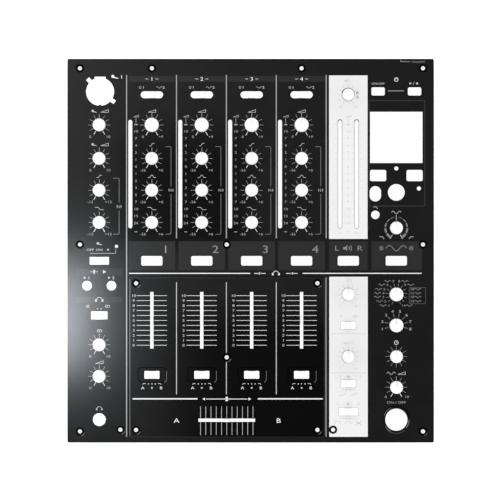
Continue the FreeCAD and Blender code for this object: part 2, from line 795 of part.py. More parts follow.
def round_opening(name, diameter, gap="sizes.control_gap"):
    """Round cutter through a panel, with a gap around what fills it."""
    return cylinder(name, f"{diameter} + 2 * {gap}", CUT_BOTTOM, CUT_TOP)


knob_sources = {}
for kind in kinds(KNOBS):
    knob_opening = round_opening(f"{kind}_opening", f"sizes.{kind}_diameter")
    knob_sources[kind] = (make_knob(kind), knob_opening)
key_sources = {kind: make_key(kind) for kind in kinds(KEYS)}
slide_sources = {kind: make_slide(kind) for kind in kinds(SLIDES)}

# Lenses: display, meters and lamps
lens_bottom = "places.panel_under - sizes.lens_flange_thickness"
lens_clear = "2 * sizes.lens_gap"
lens_ledge = "2 * sizes.lens_flange"
display_opening = box(
    "display_opening",
    f"sizes.display_width + {lens_clear}",
    f"sizes.display_depth + {lens_clear}",
    CUT_BOTTOM,
    CUT_TOP,
)
display_lens = fuse(
    "display_lens",
    box("display_face", "sizes.display_width", "sizes.display_depth", lens_bottom, LENS_TOP),
    box(
        "display_ledge",
        f"sizes.display_width + {lens_ledge}",
        f"sizes.display_depth + {lens_ledge}",
        lens_bottom,
        "places.panel_under",
    ),
)
meter_opening = slot_block(
    "meter_opening",
    f"sizes.meter_length + {lens_clear}",
    f"sizes.meter_width + {lens_clear}",
    CUT_BOTTOM,
    CUT_TOP,
)
meter_lens = fuse(
    "meter_lens",
    slot_block("meter_face", "sizes.meter_length", "sizes.meter_width", lens_bottom, LENS_TOP),
    box(
        "meter_ledge",
        f"sizes.meter_length + {lens_ledge}",
        f"sizes.meter_width + {lens_ledge}",
        lens_bottom,
        "places.panel_under",
    ),
)
lamp_sources = {}
for kind in ("lamp", "talk_lamp"):
    diameter = f"sizes.{kind}_diameter"
    lens = fuse(
        f"{kind}_lens",
        cylinder(f"{kind}_face", diameter, lens_bottom, LENS_TOP),
        cylinder(f"{kind}_ledge", f"{diameter} + {lens_ledge}", lens_bottom, "places.panel_under"),
    )
    lamp_sources[kind] = (lens, round_opening(f"{kind}_opening", diameter, "sizes.lens_gap"))


def mic_outline(name, growth, bottom, top):
    """Block in the microphone socket's outline, a disc with a square tab and two ears, grown all round."""
    disc = cylinder(f"{name}_disc", f"sizes.mic_jack_diameter + 2 * ({growth})", bottom, top)
    tab_width = f"sizes.mic_tab_width + 2 * ({growth})"
    tab_reach = f"(sizes.mic_tab_reach + {growth})"
    tab = box(f"{name}_tab", tab_width, tab_reach, bottom, top, y=f"{tab_reach} / 2")
    ear_width = f"sizes.mic_ear_width + 2 * ({growth})"
    ear_reach = f"(sizes.mic_ear_reach + {growth})"
    ear = box(f"{name}_ear", ear_reach, ear_width, bottom, top, x=f"{ear_reach} / 2")
    ears = []
    for end in ("rear", "front"):
        turned = copy(ear, f"{name}_ear_{end}")
        ears.append(bind(turned, Placement__Rotation__Angle=f"sizes.mic_ear_{end}_angle"))
    return fuse(name, disc, tab, *ears)


def mic_key(name, growth):
    """The small key that the panel keeps at the front of the microphone opening."""
    return cylinder(
        name,
        f"sizes.mic_key_diameter + 2 * {growth}",
        f"{CUT_BOTTOM} - sizes.socket_depth",
        f"{CUT_TOP} + sizes.cut_margin",
        y="-sizes.mic_jack_diameter / 2",
    )


# Microphone socket with a ring for the plug's shell and three contact holes
mic_flange_bottom = "places.panel_under - sizes.mic_flange_thickness"
mic_opening = cut(
    "mic_opening",
    mic_outline("mic_cutter", "0", CUT_BOTTOM, CUT_TOP),
    mic_key("mic_cutter_key", "0"),
)
mic_face = cut(
    "mic_face",
    mic_outline("mic_filler", "-sizes.control_gap", mic_flange_bottom, LENS_TOP),
    mic_key("mic_filler_key", "sizes.control_gap"),
)
mic_flange = mic_outline("mic_flange", "sizes.mic_flange", mic_flange_bottom, "places.panel_under")
socket_end = "places.panel_under - sizes.socket_depth"
mic_barrel = cylinder("mic_barrel", "sizes.mic_barrel_diameter", socket_end, "places.panel_under")
plug_floor = f"{LENS_TOP} - sizes.mic_plug_depth"
mic_ring = cut(
    "mic_ring",
    cylinder("mic_ring_outer", "sizes.mic_insert_diameter + 2 * sizes.mic_ring_gap", plug_floor, CUT_TOP),
    cylinder("mic_ring_inner", "sizes.mic_insert_diameter", plug_floor, CUT_TOP),
)
mic_contacts = [
    cylinder(
        f"mic_contact_{place}",
        "sizes.mic_contact_diameter",
        plug_floor,
        CUT_TOP,
        x=f"sizes.mic_contact_radius * cos({angle} deg)",
        y=f"sizes.mic_contact_radius * sin({angle} deg)",
    )
    for place, angle in enumerate((0, 180, 270), 1)
]
mic_source = cut(
    "mic_socket",
    fuse("mic_solid", mic_face, mic_flange, mic_barrel),
    group("mic_hollows", [mic_ring] + mic_contacts),
)
mic_place = ("places.mic_x + sizes.mic_jack_shift", "places.selector_y + sizes.mic_jack_rise")

# Headphone socket: collar through the panel, flange under it and a blind bore
phones_flange_bottom = "places.panel_under - sizes.phones_flange_thickness"
phones_top = "places.panel_top + sizes.phones_collar_rise"
phones_source = revolved(
    "phones_socket",
    [
        ("0", socket_end),
        ("sizes.phones_body / 2", socket_end),
        ("sizes.phones_body / 2", phones_flange_bottom),
        ("sizes.phones_flange / 2", phones_flange_bottom),
        ("sizes.phones_flange / 2", "places.panel_under"),
        ("sizes.phones_collar / 2", "places.panel_under"),
        ("sizes.phones_collar / 2", phones_top),
        ("sizes.phones_bore / 2", phones_top),
        ("sizes.phones_bore / 2", f"{socket_end} + sizes.socket_floor"),
        ("0", f"{socket_end} + sizes.socket_floor"),
    ],
)
phones_opening = round_opening("phones_opening", "sizes.phones_collar")
phones_place = ("places.mic_x", "places.end_row_y")

# Screw in a counterbore: the hole through the panel and the screw itself
screw_seat = "places.panel_top - sizes.counterbore_depth"
screw_opening = fuse(
    "screw_opening",
    cylinder("screw_through", "sizes.screw_hole", CUT_BOTTOM, CUT_TOP),
    cylinder("screw_counterbore", "sizes.counterbore", screw_seat, CUT_TOP),
)
screw_top = f"{screw_seat} + sizes.screw_head_height"
socket_bottom = f"{screw_top} - sizes.screw_socket_depth"
screw_source = revolved(
    "screw",
    [
        ("0", f"{screw_seat} - sizes.screw_length"),
        ("sizes.screw_shank / 2", f"{screw_seat} - sizes.screw_length"),
        ("sizes.screw_shank / 2", screw_seat),
        ("sizes.screw_head / 2", screw_seat),
        ("sizes.screw_head / 2", screw_top),
        ("sizes.screw_socket / 2", screw_top),
        ("sizes.screw_socket / 2", socket_bottom),
        ("0", socket_bottom),
    ],
)

# Control panel
panel_plate = rounded_block(
    "panel_plate",
    "places.panel_width",
    "places.panel_depth",
    "places.panel_under",
    "places.panel_top",
    "sizes.panel_corner",
)
fader_window = box(
    "fader_window",
    "places.fader_panel_width + 2 * sizes.fader_panel_gap",
    "places.fader_panel_depth + 2 * sizes.fader_panel_gap",
    CUT_BOTTOM,
    CUT_TOP,
    x="places.channels_mid",
    y="places.fader_panel_y",
)
key_dish = cylinder(
    "key_dish",
    "sizes.on_key_dish",
    "places.panel_top - sizes.dish_depth",
    CUT_TOP,
    x="places.effects_x",
    y="places.end_row_y",
)
panel_cuts = [fader_window, key_dish]
for sources, controls in (
    (knob_sources, KNOBS),
    (key_sources, KEYS),
    (slide_sources, PANEL_SLIDES),
    (lamp_sources, LAMPS),
):
    panel_cuts += [copy(sources[kind][1], f"{name}_hole", x, y) for name, kind, x, y in controls]
panel_cuts += [copy(meter_opening, f"{name}_hole", x, "places.meter_y", angle=90.0) for name, x in METERS]
panel_cuts += [
    copy(display_opening, "display_hole", "places.effects_x", "places.display_y"),
    copy(mic_opening, "mic_hole", *mic_place),
    copy(phones_opening, "phones_hole", *phones_place),
]
panel_cuts += copies(screw_opening, "panel_screw_hole", REAR_SCREWS + PANEL_POSTS)
node(cut("control_panel_cut", panel_plate, group("control_panel_openings", panel_cuts)), "control_panel")

# Fader panel, inset in the control panel's window
fader_plate = rounded_block(
    "fader_plate",
    "places.fader_panel_width",
    "places.fader_panel_depth",
    "places.panel_under",
    "places.panel_top",
    "sizes.panel_corner",
)
assign_well = rounded_block(
    "assign_well",
    "sizes.well_width",
    "sizes.well_depth",
    "places.panel_top - sizes.dish_depth",
    CUT_TOP,
    "sizes.well_corner",
)
fader_slot = box("fader_slot", "sizes.fader_slot_width", "sizes.fader_slot_length", CUT_BOTTOM, CUT_TOP)
fader_cuts = [copy(fader_slot, f"{name}_slot", x, y, angle=angle) for name, x, y, angle in FADERS]
fader_cuts += [copy(assign_well, f"{name}_well", x, y) for name, _, x, y in ASSIGN_SLIDES]
fader_cuts += [copy(slide_sources[kind][1], f"{name}_hole", x, y) for name, kind, x, y in ASSIGN_SLIDES]
fader_cuts += copies(screw_opening, "fader_screw_hole", FADER_POSTS)
node(
    cut(
        "fader_panel_cut",
        copy(fader_plate, "fader_panel_plate", "places.channels_mid", "places.fader_panel_y"),
        group("fader_panel_openings", fader_cuts),
    ),
    "fader_panel",
)

# Tray: floor, front wall and side walls, open at the rear, with vents in both sides
tray = doc.addObject("PartDesign::Body", "tray")
tray_outline = sketch_on(tray, "tray_outline", "XY_Plane", "sizes.foot_height")
polygon(tray_outline, rectangle("places.tray_width", "places.tray_depth"))
pad(tray, "tray_block", tray_outline, "sizes.case_height")
tray_inside = sketch_on(tray, "tray_inside", "XY_Plane", "places.panel_under")
inside_front = "sizes.sheet - places.tray_depth / 2"
inside_rear = "places.tray_depth / 2 + sizes.cut_margin"
polygon(
    tray_inside,
    [
        ("-places.inner_width / 2", inside_front),
        ("places.inner_width / 2", inside_front),
        ("places.inner_width / 2", inside_rear),
        ("-places.inner_width / 2", inside_rear),
    ],
)
pocket(tray, "tray_hollow", tray_inside, "sizes.case_height - sizes.sheet")
vent_outline = sketch_on(tray, "vent_outline", "YZ_Plane", "-places.tray_width / 2 - sizes.cut_margin")
first_vent_y = "-(sizes.vent_count - 1) * sizes.vent_pitch / 2"
vent_z = "(places.floor_top + places.board_under) / 2"
polygon(vent_outline, rectangle("sizes.vent_width", "sizes.vent_height", first_vent_y, vent_z))
first_vent = pocket(tray, "first_vent", vent_outline, "places.tray_width + 2 * sizes.cut_margin")
first_vent.Reversed = True
vents = tray.newObject("PartDesign::LinearPattern", "vents")
vents.Originals = [first_vent]
vents.Direction = (origin_feature(tray, "Y_Axis"), [""])
bind(vents, Length="(sizes.vent_count - 1) * sizes.vent_pitch", Occurrences="sizes.vent_count")
tray.Tip = vents
node(tray, "chassis_tray")

# Rear sockets, each turned about an axis that points out of the rear panel
socket_back = "-sizes.sheet - sizes.socket_body"
phono_body = "(sizes.phono_barrel / 2)"
phono_source = revolved(
    "phono_socket",
    [
        ("0", socket_back),
        (phono_body, socket_back),
        (phono_body, "0"),
        ("sizes.phono_flange / 2", "0"),
        ("sizes.phono_flange / 2", "sizes.phono_flange_thickness"),
        (phono_body, "sizes.phono_flange_thickness"),
        (phono_body, "sizes.phono_reach"),
        ("sizes.phono_pin_bore / 2", "sizes.phono_reach"),
        ("sizes.phono_pin_bore / 2", "sizes.phono_flange_thickness"),
        ("0", "sizes.phono_flange_thickness"),
    ],
    "XY_Plane",
)


def make_cup_socket(name, flange, cup, reach):
    """Round socket with a wide flange on the panel and a cup sunk into its body."""
    shell = f"({cup} + sizes.inlet_wall) / 2"
    return revolved(
        name,
        [
            ("0", socket_back),
            (shell, socket_back),
            (shell, "0"),
            (f"{flange} / 2", "0"),
            (f"{flange} / 2", "sizes.phono_flange_thickness"),
            (shell, "sizes.phono_flange_thickness"),
            (shell, reach),
            (f"{cup} / 2", reach),
            (f"{cup} / 2", f"{socket_back} + sizes.socket_floor"),
            ("0", f"{socket_back} + sizes.socket_floor"),
        ],
        "XY_Plane",
    )


def rear_block(name, width, height, back, front):
    """Block centred on the socket's axis, from back to front along it."""
    item = doc.addObject("Part::Box", name)
    return bind(
        item,
        Length=width,
        Width=f"{front} - ({back})",
        Height=height,
        Placement__Base__x=f"-({width}) / 2",
        Placement__Base__y=back,
        Placement__Base__z=f"-({height}) / 2",
    )


def rear_pin(name, diameter, back, front, x, z):
    """Round pin along a rear socket's axis."""
    item = doc.addObject("Part::Cylinder", name)
    item.Placement.Rotation = Rotation(Vector(1, 0, 0), -90)
    return bind(
        item,
        Radius=f"{diameter} / 2",
        Height=f"{front} - ({back})",
        Placement__Base__x=x,
        Placement__Base__y=back,
        Placement__Base__z=z,
    )


link_source = make_cup_socket(
    "link_socket", "sizes.link_socket_flange", "sizes.link_socket_cup", "sizes.output_reach"
)
output_pins = [
    rear_pin(
        f"output_pin_{place}",
        "sizes.output_pin",
        socket_back,
        "sizes.phono_flange_thickness",
        f"sizes.output_pin_radius * cos({angle} deg)",
        f"sizes.output_pin_radius * sin({angle} deg)",
    )
    for place, angle in enumerate((0, 180, 90), 1)
]
output_source = fuse(
    "output_socket",
    make_cup_socket("output_shell", "sizes.output_flange", "sizes.output_cup", "sizes.output_reach"),
    *output_pins,
)
inlet_cup = cut(
    "inlet_cup",
    fuse(
        "inlet_whole",
        rear_block("inlet_body", "sizes.inlet_width", "sizes.inlet_height", socket_back, "0"),
        rear_block(
            "inlet_flange",
            "sizes.inlet_width + 2 * sizes.inlet_flange",
            "sizes.inlet_height + 2 * sizes.inlet_flange",
            "0",
            "sizes.phono_flange_thickness",
        ),
    ),
    rear_block(
        "inlet_hollow",
        "sizes.inlet_width - 2 * sizes.inlet_wall",
        "sizes.inlet_height - 2 * sizes.inlet_wall",
        f"{socket_back} + sizes.socket_floor",
        "sizes.phono_flange_thickness + sizes.cut_margin",
    ),
)
blade_source = rear_block("inlet_blade", "sizes.inlet_blade", "2 * sizes.inlet_blade", socket_back, "0")
inlet_blades = [
    copy(blade_source, f"inlet_blade_{side}", f"{turn} * sizes.inlet_blade_pitch")
    for side, turn in (("left", -1), ("middle", 0), ("right", 1))
]
inlet_source = fuse("power_inlet", inlet_cup, *inlet_blades)
power_key_source = fuse(
    "power_key",
    rear_block("power_key_body", "sizes.power_key_width", "sizes.power_key_height", socket_back, "0"),
    rear_block(
        "power_key_frame",
        "sizes.power_key_width + 2 * sizes.inlet_flange",
        "sizes.power_key_height + 2 * sizes.inlet_flange",
        "0",
        "sizes.phono_flange_thickness",
    ),
    rear_block(
        "power_key_rocker",
        "sizes.power_key_width - 2 * sizes.inlet_flange",
        "sizes.power_key_height - 2 * sizes.inlet_flange",
        "0",
        "sizes.power_key_rise",
    ),
)


rear_cut = ("-sizes.sheet - sizes.cut_margin", "sizes.cut_margin")


def rear_hole(name, diameter):
    """Round cutter through the rear panel."""
    return rear_pin(name, f"({diameter} + 2 * sizes.socket_hole_gap)", *rear_cut, "0", "0")


def rear_window(name, width, height):
    """Square cutter through the rear panel."""
    clear = "2 * sizes.socket_hole_gap"
    return rear_block(name, f"{width} + {clear}", f"{height} + {clear}", *rear_cut)


phono_hole = rear_hole("phono_hole", "sizes.phono_barrel")
link_hole = rear_hole("link_hole", "sizes.link_socket_cup + sizes.inlet_wall")
output_hole = rear_hole("output_hole", "sizes.output_cup + sizes.inlet_wall")
inlet_window = rear_window("inlet_window", "sizes.inlet_width", "sizes.inlet_height")
power_key_window = rear_window("power_key_window", "sizes.power_key_width", "sizes.power_key_height")

REAR_SOCKETS = []
phono_columns = ["places.mic_x - sizes.record_offset"] + [channel_x(n) for n in CHANNELS]
for column in phono_columns:
    for side in ("-", "+"):
        for height in ("places.phono_z", "places.phono_z + sizes.phono_row"):
            REAR_SOCKETS.append((phono_source, phono_hole, f"{column} {side} sizes.phono_spread", height))
REAR_SOCKETS += [
    (link_source, link_hole, "places.mic_x + sizes.link_socket_offset", "places.output_z"),
    (output_source, output_hole, "places.master_x - sizes.output_spread", "places.output_z"),
    (output_source, output_hole, "places.master_x + sizes.output_spread", "places.output_z"),
    (inlet_source, inlet_window, "places.effects_x - sizes.inlet_offset", "places.output_z"),
    (power_key_source, power_key_window, "places.effects_x + sizes.power_key_offset", "places.output_z"),
]
node(
    group(
        "rear_socket_set",
        [
            copy(source, f"rear_socket_{place}", x, "places.rear_y", z)
            for place, (source, _, x, z) in enumerate(REAR_SOCKETS, 1)
        ],
    ),
    "rear_connectors",
)

# Rear panel: a folded sheet with a top flange to the rear, a foot flange to the front and weld nuts
flange_end = "places.tray_depth / 2"
flange_under = "places.panel_under - sizes.sheet"
rear_front = "places.rear_y - sizes.sheet"
rear_sheet = doc.addObject("PartDesign::Body", "rear_sheet")
rear_width = "(places.inner_width - 2 * sizes.rear_panel_gap)"
rear_profile = sketch_on(rear_sheet, "rear_profile", "YZ_Plane", f"-{rear_width} / 2")
polygon(
    rear_profile,
    [
        (f"{rear_front} - sizes.floor_flange", "places.floor_top"),
        ("places.rear_y", "places.floor_top"),
        ("places.rear_y", flange_under),
        (flange_end, flange_under),
        (flange_end, "places.panel_under"),
        (rear_front, "places.panel_under"),
        (rear_front, "places.floor_top + sizes.sheet"),
        (f"{rear_front} - sizes.floor_flange", "places.floor_top + sizes.sheet"),
    ],
)
pad(rear_sheet, "rear_fold", rear_profile, rear_width)
nut = cylinder("weld_nut", "sizes.weld_nut", f"{flange_under} - sizes.weld_nut_height", flange_under)
nut_bore = cylinder(
    "weld_nut_bore",
    "sizes.screw_shank + 2 * sizes.screw_clearance",
    f"{flange_under} - sizes.weld_nut_height - sizes.cut_margin",
    CUT_TOP,
)
nuts = copies(nut, "weld_nut_set", REAR_SCREWS)
rear_cuts = copies(nut_bore, "weld_nut_bore_set", REAR_SCREWS)
rear_cuts += [
    copy(hole, f"rear_hole_{place}", x, "places.rear_y", z)
    for place, (_, hole, x, z) in enumerate(REAR_SOCKETS, 1)
]
rear_whole = fuse("rear_panel_whole", rear_sheet, *nuts)
node(cut("rear_panel_cut", rear_whole, group("rear_openings", rear_cuts)), "rear_panel")

# Posts: a wide foot up to the board, a neck through it, and a bore for the screw
neck = "sizes.post_neck / 2"
foot = "sizes.post_diameter / 2"
bore = "sizes.screw_shank / 2 + sizes.screw_clearance"
post_source = revolved(
    "post",
    [
        ("0", "places.floor_top"),
        (foot, "places.floor_top"),
        (foot, "places.board_under"),
        (neck, "places.board_under"),
        (neck, "places.panel_under"),
        (bore, "places.panel_under"),
        (bore, "places.panel_under - sizes.post_bore_depth"),
        ("0", "places.panel_under - sizes.post_bore_depth"),
    ],
)
lock_top = "places.board_top + sizes.board_lock_rise"
board_post_source = revolved(
    "board_post",
    [
        ("0", "places.floor_top"),
        (foot, "places.floor_top"),
        (foot, "places.board_under"),
        (neck, "places.board_under"),
        (neck, lock_top),
        ("0", lock_top),
    ],
)
posts = copies(post_source, "post_place", PANEL_POSTS + FADER_POSTS)
posts += copies(board_post_source, "board_post_place", BOARD_POSTS)
node(group("post_set", posts), "support_posts")

screws = copies(screw_source, "screw_place", REAR_SCREWS + PANEL_POSTS + FADER_POSTS)
node(group("screw_set", screws), "panel_screws")

# Feet
rubber = "sizes.foot_diameter / 2"
foot_source = revolved(
    "foot",
    [
        ("0", "0"),
        (f"{rubber} - sizes.foot_taper", "0"),
        (rubber, "sizes.foot_height / 2"),
        (rubber, "sizes.foot_height"),
        ("0", "sizes.foot_height"),
    ],
)
foot_x = "(places.panel_width / 2 - sizes.foot_inset)"
foot_y = "(places.panel_depth / 2 - sizes.foot_inset)"
feet = [
    copy(foot_source, f"foot_{end}_{side}", f"{x_sign}{foot_x}", f"{y_sign}{foot_y}")
    for side, x_sign in (("left", "-"), ("right", ""))
    for end, y_sign in (("front", "-"), ("rear", ""))
]
node(group("foot_set", feet), "rubber_feet")

# Board with the display module and the meters' lamp bars
board_plate = box(
    "board_plate",
    "places.inner_width - 2 * sizes.board_gap",
    "places.board_rear - places.board_front",
    "places.board_under",
    "places.board_top",
    y="(places.board_rear + places.board_front) / 2",
)
board_hole = cylinder(
    "board_hole",
    "sizes.post_neck + 2 * sizes.board_hole_gap",
    "places.board_under - sizes.cut_margin",
    "places.board_top + sizes.cut_margin",
)
board_holes = copies(board_hole, "board_hole_place", PANEL_POSTS + FADER_POSTS + BOARD_POSTS)
meter_module = box(
    "meter_module",
    "sizes.meter_length",
    "sizes.meter_module_width",
    "places.board_top",
    "places.board_top + sizes.meter_module_height",
)
board_parts = [
    cut("board", board_plate, group("board_openings", board_holes)),
    box(
        "display_module",
        "sizes.display_width",
        "sizes.display_depth",
        "places.board_top",
        "places.board_top + sizes.display_module_height",
        x="places.effects_x",
        y="places.display_y",
    ),
]
board_parts += [copy(meter_module, f"{name}_module", x, "places.meter_y", angle=90.0) for name, x in METERS]
node(group("board_set", board_parts), "control_board")

# Potentiometers
pot_top = "places.board_top + sizes.pot_height"
pot_source = cut(
    "pot",
    box("pot_body", "sizes.pot_width", "sizes.pot_width", "places.board_top", pot_top),
    cylinder(
        "pot_bore",
        "sizes.shaft_diameter + 2 * sizes.shaft_clearance",
        "places.board_top + sizes.pot_floor",
        f"{pot_top} + sizes.cut_margin",
    ),
)
node(group("pot_set", [copy(pot_source, f"{name}_pot", x, y) for name, _, x, y in KNOBS]), "rotary_pots")

# Key switches, with the small keys that have no joint
key_switch_source = cut(
    "key_switch",
    box(
        "key_switch_body",
        "sizes.switch_width",
        "sizes.switch_width",
        "places.board_top",
        "places.board_top + sizes.switch_height",
    ),
    cylinder(
        "key_switch_bore",
        "sizes.stem_diameter + 2 * sizes.stem_clearance",
        "places.board_top + sizes.switch_floor",
        "places.board_top + sizes.switch_height + sizes.cut_margin",
    ),
)
key_parts = [copy(key_switch_source, f"{name}_switch", x, y) for name, _, x, y in KEYS]
key_parts += [copy(key_sources[kind][0], f"{name}_cap", x, y) for name, kind, x, y in FIXED_KEYS]
node(group("key_switch_set", key_parts), "key_switches")

# Slide switches: each a body with a track, and its lever
slide_body_top = "places.board_top + sizes.slide_body_height"
slide_body_source = cut(
    "slide_body",
    box(
        "slide_body_block",
        "sizes.slide_body_width",
        "sizes.slide_body_depth",
        "places.board_top",
        slide_body_top,
    ),
    box(
        "slide_body_track",
        "sizes.slide_track",
        "sizes.slide_stem + 2 * sizes.slide_track_gap",
        "places.board_top + sizes.slide_body_floor",
        f"{slide_body_top} + sizes.cut_margin",
    ),
)
slide_parts = [copy(slide_body_source, f"{name}_body", x, y) for name, _, x, y in SLIDES]
slide_parts += [copy(slide_sources[kind][0], f"{name}_slider", x, y) for name, kind, x, y in SLIDES]
node(group("slide_switch_set", slide_parts), "slide_switches")

# Fader rails on the board, and the levers that ride on them
saddle_top = "places.panel_under - sizes.control_gap"
saddle_under = f"{saddle_top} - sizes.saddle_top"
rail_top = f"{saddle_under} - sizes.rail_gap"
rail_length = "(sizes.fader_travel + sizes.saddle_length + 2 * sizes.rail_end)"
rail_base_top = "places.board_top + sizes.rail_base_height"
rail_source = fuse(
    "rail",
    box("rail_base", "sizes.rail_base_width", rail_length, "places.board_top", rail_base_top),
    box("rail_bar", "sizes.rail_width", rail_length, rail_base_top, rail_top),
)
rails = [copy(rail_source, f"{name}_rail", x, y, angle=angle) for name, x, y, angle in FADERS]
node(group("rail_set", rails), "fader_rails")

saddle_inside = "sizes.rail_width + 2 * sizes.rail_gap"
saddle_bottom = f"{saddle_under} - sizes.saddle_skirt"
saddle_width = f"{saddle_inside} + 2 * sizes.saddle_wall"
saddle = cut(
    "saddle",
    box("saddle_block", saddle_width, "sizes.saddle_length", saddle_bottom, saddle_top),
    box(
        "saddle_channel",
        saddle_inside,
        "sizes.saddle_length + 2 * sizes.cut_margin",
        f"{saddle_bottom} - sizes.cut_margin",
        saddle_under,
    ),
)
blade = box(
    "fader_blade",
    "sizes.fader_slot_width - 2 * sizes.fader_blade_gap",
    "sizes.fader_blade_length",
    saddle_top,
    "places.panel_top + sizes.fader_blade_rise",
)
fader_source = fuse("fader_lever", saddle, blade)

# Display window, meter lenses and lamps
node(copy(display_lens, "display_pane", "places.effects_x", "places.display_y"), "display_window")
lenses = [copy(meter_lens, f"{name}_lens", x, "places.meter_y", angle=90.0) for name, x in METERS]
lenses += [copy(lamp_sources[kind][0], f"{name}_lens", x, y) for name, kind, x, y in LAMPS]
node(group("lens_set", lenses), "meter_lenses")

# Sockets in the control panel
node(copy(mic_source, "mic_socket_place", *mic_place), "mic_jack")
node(copy(phones_source, "phones_socket_place", *phones_place), "phones_jack")

# Power supply on the floor: plate, ring coil and a row of capacitors
supply_top = "places.floor_top + sizes.supply_plate"
coil_x = "places.supply_x - sizes.supply_width / 2 + sizes.coil_inset + sizes.coil_diameter / 2"
capacitor_x = "places.supply_x + sizes.supply_width / 2 - sizes.capacitor_inset"
first_capacitor_y = "places.supply_y - (sizes.capacitor_count - 1) * sizes.capacitor_pitch / 2"
coil_top = f"{supply_top} + sizes.coil_height"
supply_parts = [
    box(
        "supply_plate",
        "sizes.supply_width",
        "sizes.supply_depth",
        "places.floor_top",
        supply_top,
        x="places.supply_x",
        y="places.supply_y",
    ),
    cut(
        "coil",
        cylinder("coil_ring", "sizes.coil_diameter", supply_top, coil_top, coil_x, "places.supply_y"),
        cylinder("coil_hollow", "sizes.coil_core", supply_top, coil_top, coil_x, "places.supply_y"),
    ),
]
supply_parts += [
    cylinder(
        f"capacitor_{place}",
        "sizes.capacitor_diameter",
        supply_top,
        f"{supply_top} + sizes.capacitor_height",
        capacitor_x,
        f"{first_capacitor_y} + {place} * sizes.capacitor_pitch",
    )
    for place in range(SIZES["capacitor_count"])
]
node(group("supply_set", supply_parts), "power_supply")

# Moving controls, each a sub-part of its own
for sources, controls in ((knob_sources, KNOBS), (key_sources, MOVING_KEYS)):
    for name, kind, x, y in controls:
        node(copy(sources[kind][0], f"{name}_place", x, y), name)
for name, x, y, angle in FADERS:
    node(copy(fader_source, f"{name}_place", x, y, angle=angle), name)

doc.recompute()

# Every object must have come out whole before anything is written
for item in doc.Objects:
    if "Invalid" in item.State or "Error" in item.State:
        raise RuntimeError(f"{item.Label} failed: {item.State}")
shapes = {item.Label: Part.getShape(item) for item in nodes}
for label, shape in shapes.items():
    if shape.isNull() or not shape.isValid() or not shape.Solids:
        raise RuntimeError(f"{label} has no sound shape")

os.makedirs("parts", exist_ok=True)
for label, shape in shapes.items():
    shape.exportStep(f"parts/{label}.step")
    print(f"{label}: {len(shape.Solids)} solids, {shape.Volume / 1000:.2f} cm3")
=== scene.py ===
"""Looks of a four-channel DJ mixer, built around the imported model.

The top plate is satin black, with two silver strips and printed lines, numbers and plain symbols.
The controls are white. Lengths are millimetres unless a name says otherwise; the frame is metres.
"""
import functools
import json
import math

import bmesh
import bpy
from mathutils import Matrix, Vector

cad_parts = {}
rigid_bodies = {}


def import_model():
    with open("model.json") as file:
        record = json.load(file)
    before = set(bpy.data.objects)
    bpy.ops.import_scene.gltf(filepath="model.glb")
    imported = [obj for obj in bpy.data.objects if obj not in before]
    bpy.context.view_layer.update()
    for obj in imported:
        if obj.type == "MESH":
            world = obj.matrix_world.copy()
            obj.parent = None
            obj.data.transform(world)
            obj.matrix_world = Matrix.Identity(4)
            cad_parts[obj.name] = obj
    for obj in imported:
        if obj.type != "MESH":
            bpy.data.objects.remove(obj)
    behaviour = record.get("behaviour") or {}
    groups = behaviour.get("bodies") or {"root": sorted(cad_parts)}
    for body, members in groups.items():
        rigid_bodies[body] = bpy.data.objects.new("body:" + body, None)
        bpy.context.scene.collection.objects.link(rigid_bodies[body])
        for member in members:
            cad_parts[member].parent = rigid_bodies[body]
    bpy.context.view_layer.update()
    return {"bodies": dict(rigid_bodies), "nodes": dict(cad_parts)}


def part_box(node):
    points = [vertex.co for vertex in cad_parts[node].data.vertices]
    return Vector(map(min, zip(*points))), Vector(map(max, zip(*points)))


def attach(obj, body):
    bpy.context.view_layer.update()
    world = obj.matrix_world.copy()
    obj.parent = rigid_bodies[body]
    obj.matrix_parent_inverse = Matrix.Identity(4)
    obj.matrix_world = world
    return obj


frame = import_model()
nodes = frame["nodes"]

MM = 0.001
CHANNELS = (1, 2, 3, 4)
CHASSIS = "chassis"
SIDES = (-1, 1)


# Places, read from the frame
def spot(node):
    """Middle of a node seen from above."""
    low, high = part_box(node)
    middle = (low + high) / (2 * MM)
    return middle.x, middle.y


def spots(node, reach):
    """Middles of a node's solids seen from above, each solid within a reach of its first corner."""
    groups = []
    for corner in nodes[node].data.vertices:
        place = corner.co.xy / MM
        group = next((group for group in groups if (group[0] - place).length < reach), None)
        if group:
            group.append(place)
        else:
            groups.append([place])
    return [sum(group, Vector((0, 0))) / len(group) for group in groups]


def radius_of(node):
    """Half the width of a node."""
    low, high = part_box(node)
    return (high.x - low.x) / (2 * MM)


plate_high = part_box("control_panel")[1] / MM
inset_low, inset_high = (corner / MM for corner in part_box("fader_panel"))
plate_top = plate_high.z
channel_x = [spot(f"trim_knob_{n}")[0] for n in CHANNELS]
pitch = channel_x[1] - channel_x[0]
mic_x = spot("mic_low_knob")[0]
master_x = spot("master_level_knob")[0]
effects_x = spot("effect_time_knob")[0]
cue_y = spot("cue_button_1")[1]
cross_x, cross_y = spot("crossfader")

# The slide switches share one node, so their rows are set off from the controls beside them
SELECTOR_RISE, ASSIGN_RISE, PHONES_SWITCH_RISE = 26.4, 39.6, 25.6
CHANNEL_CURVE_DROP, CROSS_CURVE_DROP = 23.7, 24.6
selector_y = spot("trim_knob_1")[1] + SELECTOR_RISE
assign_y = cross_y + ASSIGN_RISE
phones_switch_y = spot("headphone_mix_knob")[1] + PHONES_SWITCH_RISE
stereo_y = spot("effect_channel_knob")[1]
channel_curve_y = spot("booth_level_knob")[1] - CHANNEL_CURVE_DROP
cross_curve_y = channel_curve_y - CROSS_CURVE_DROP

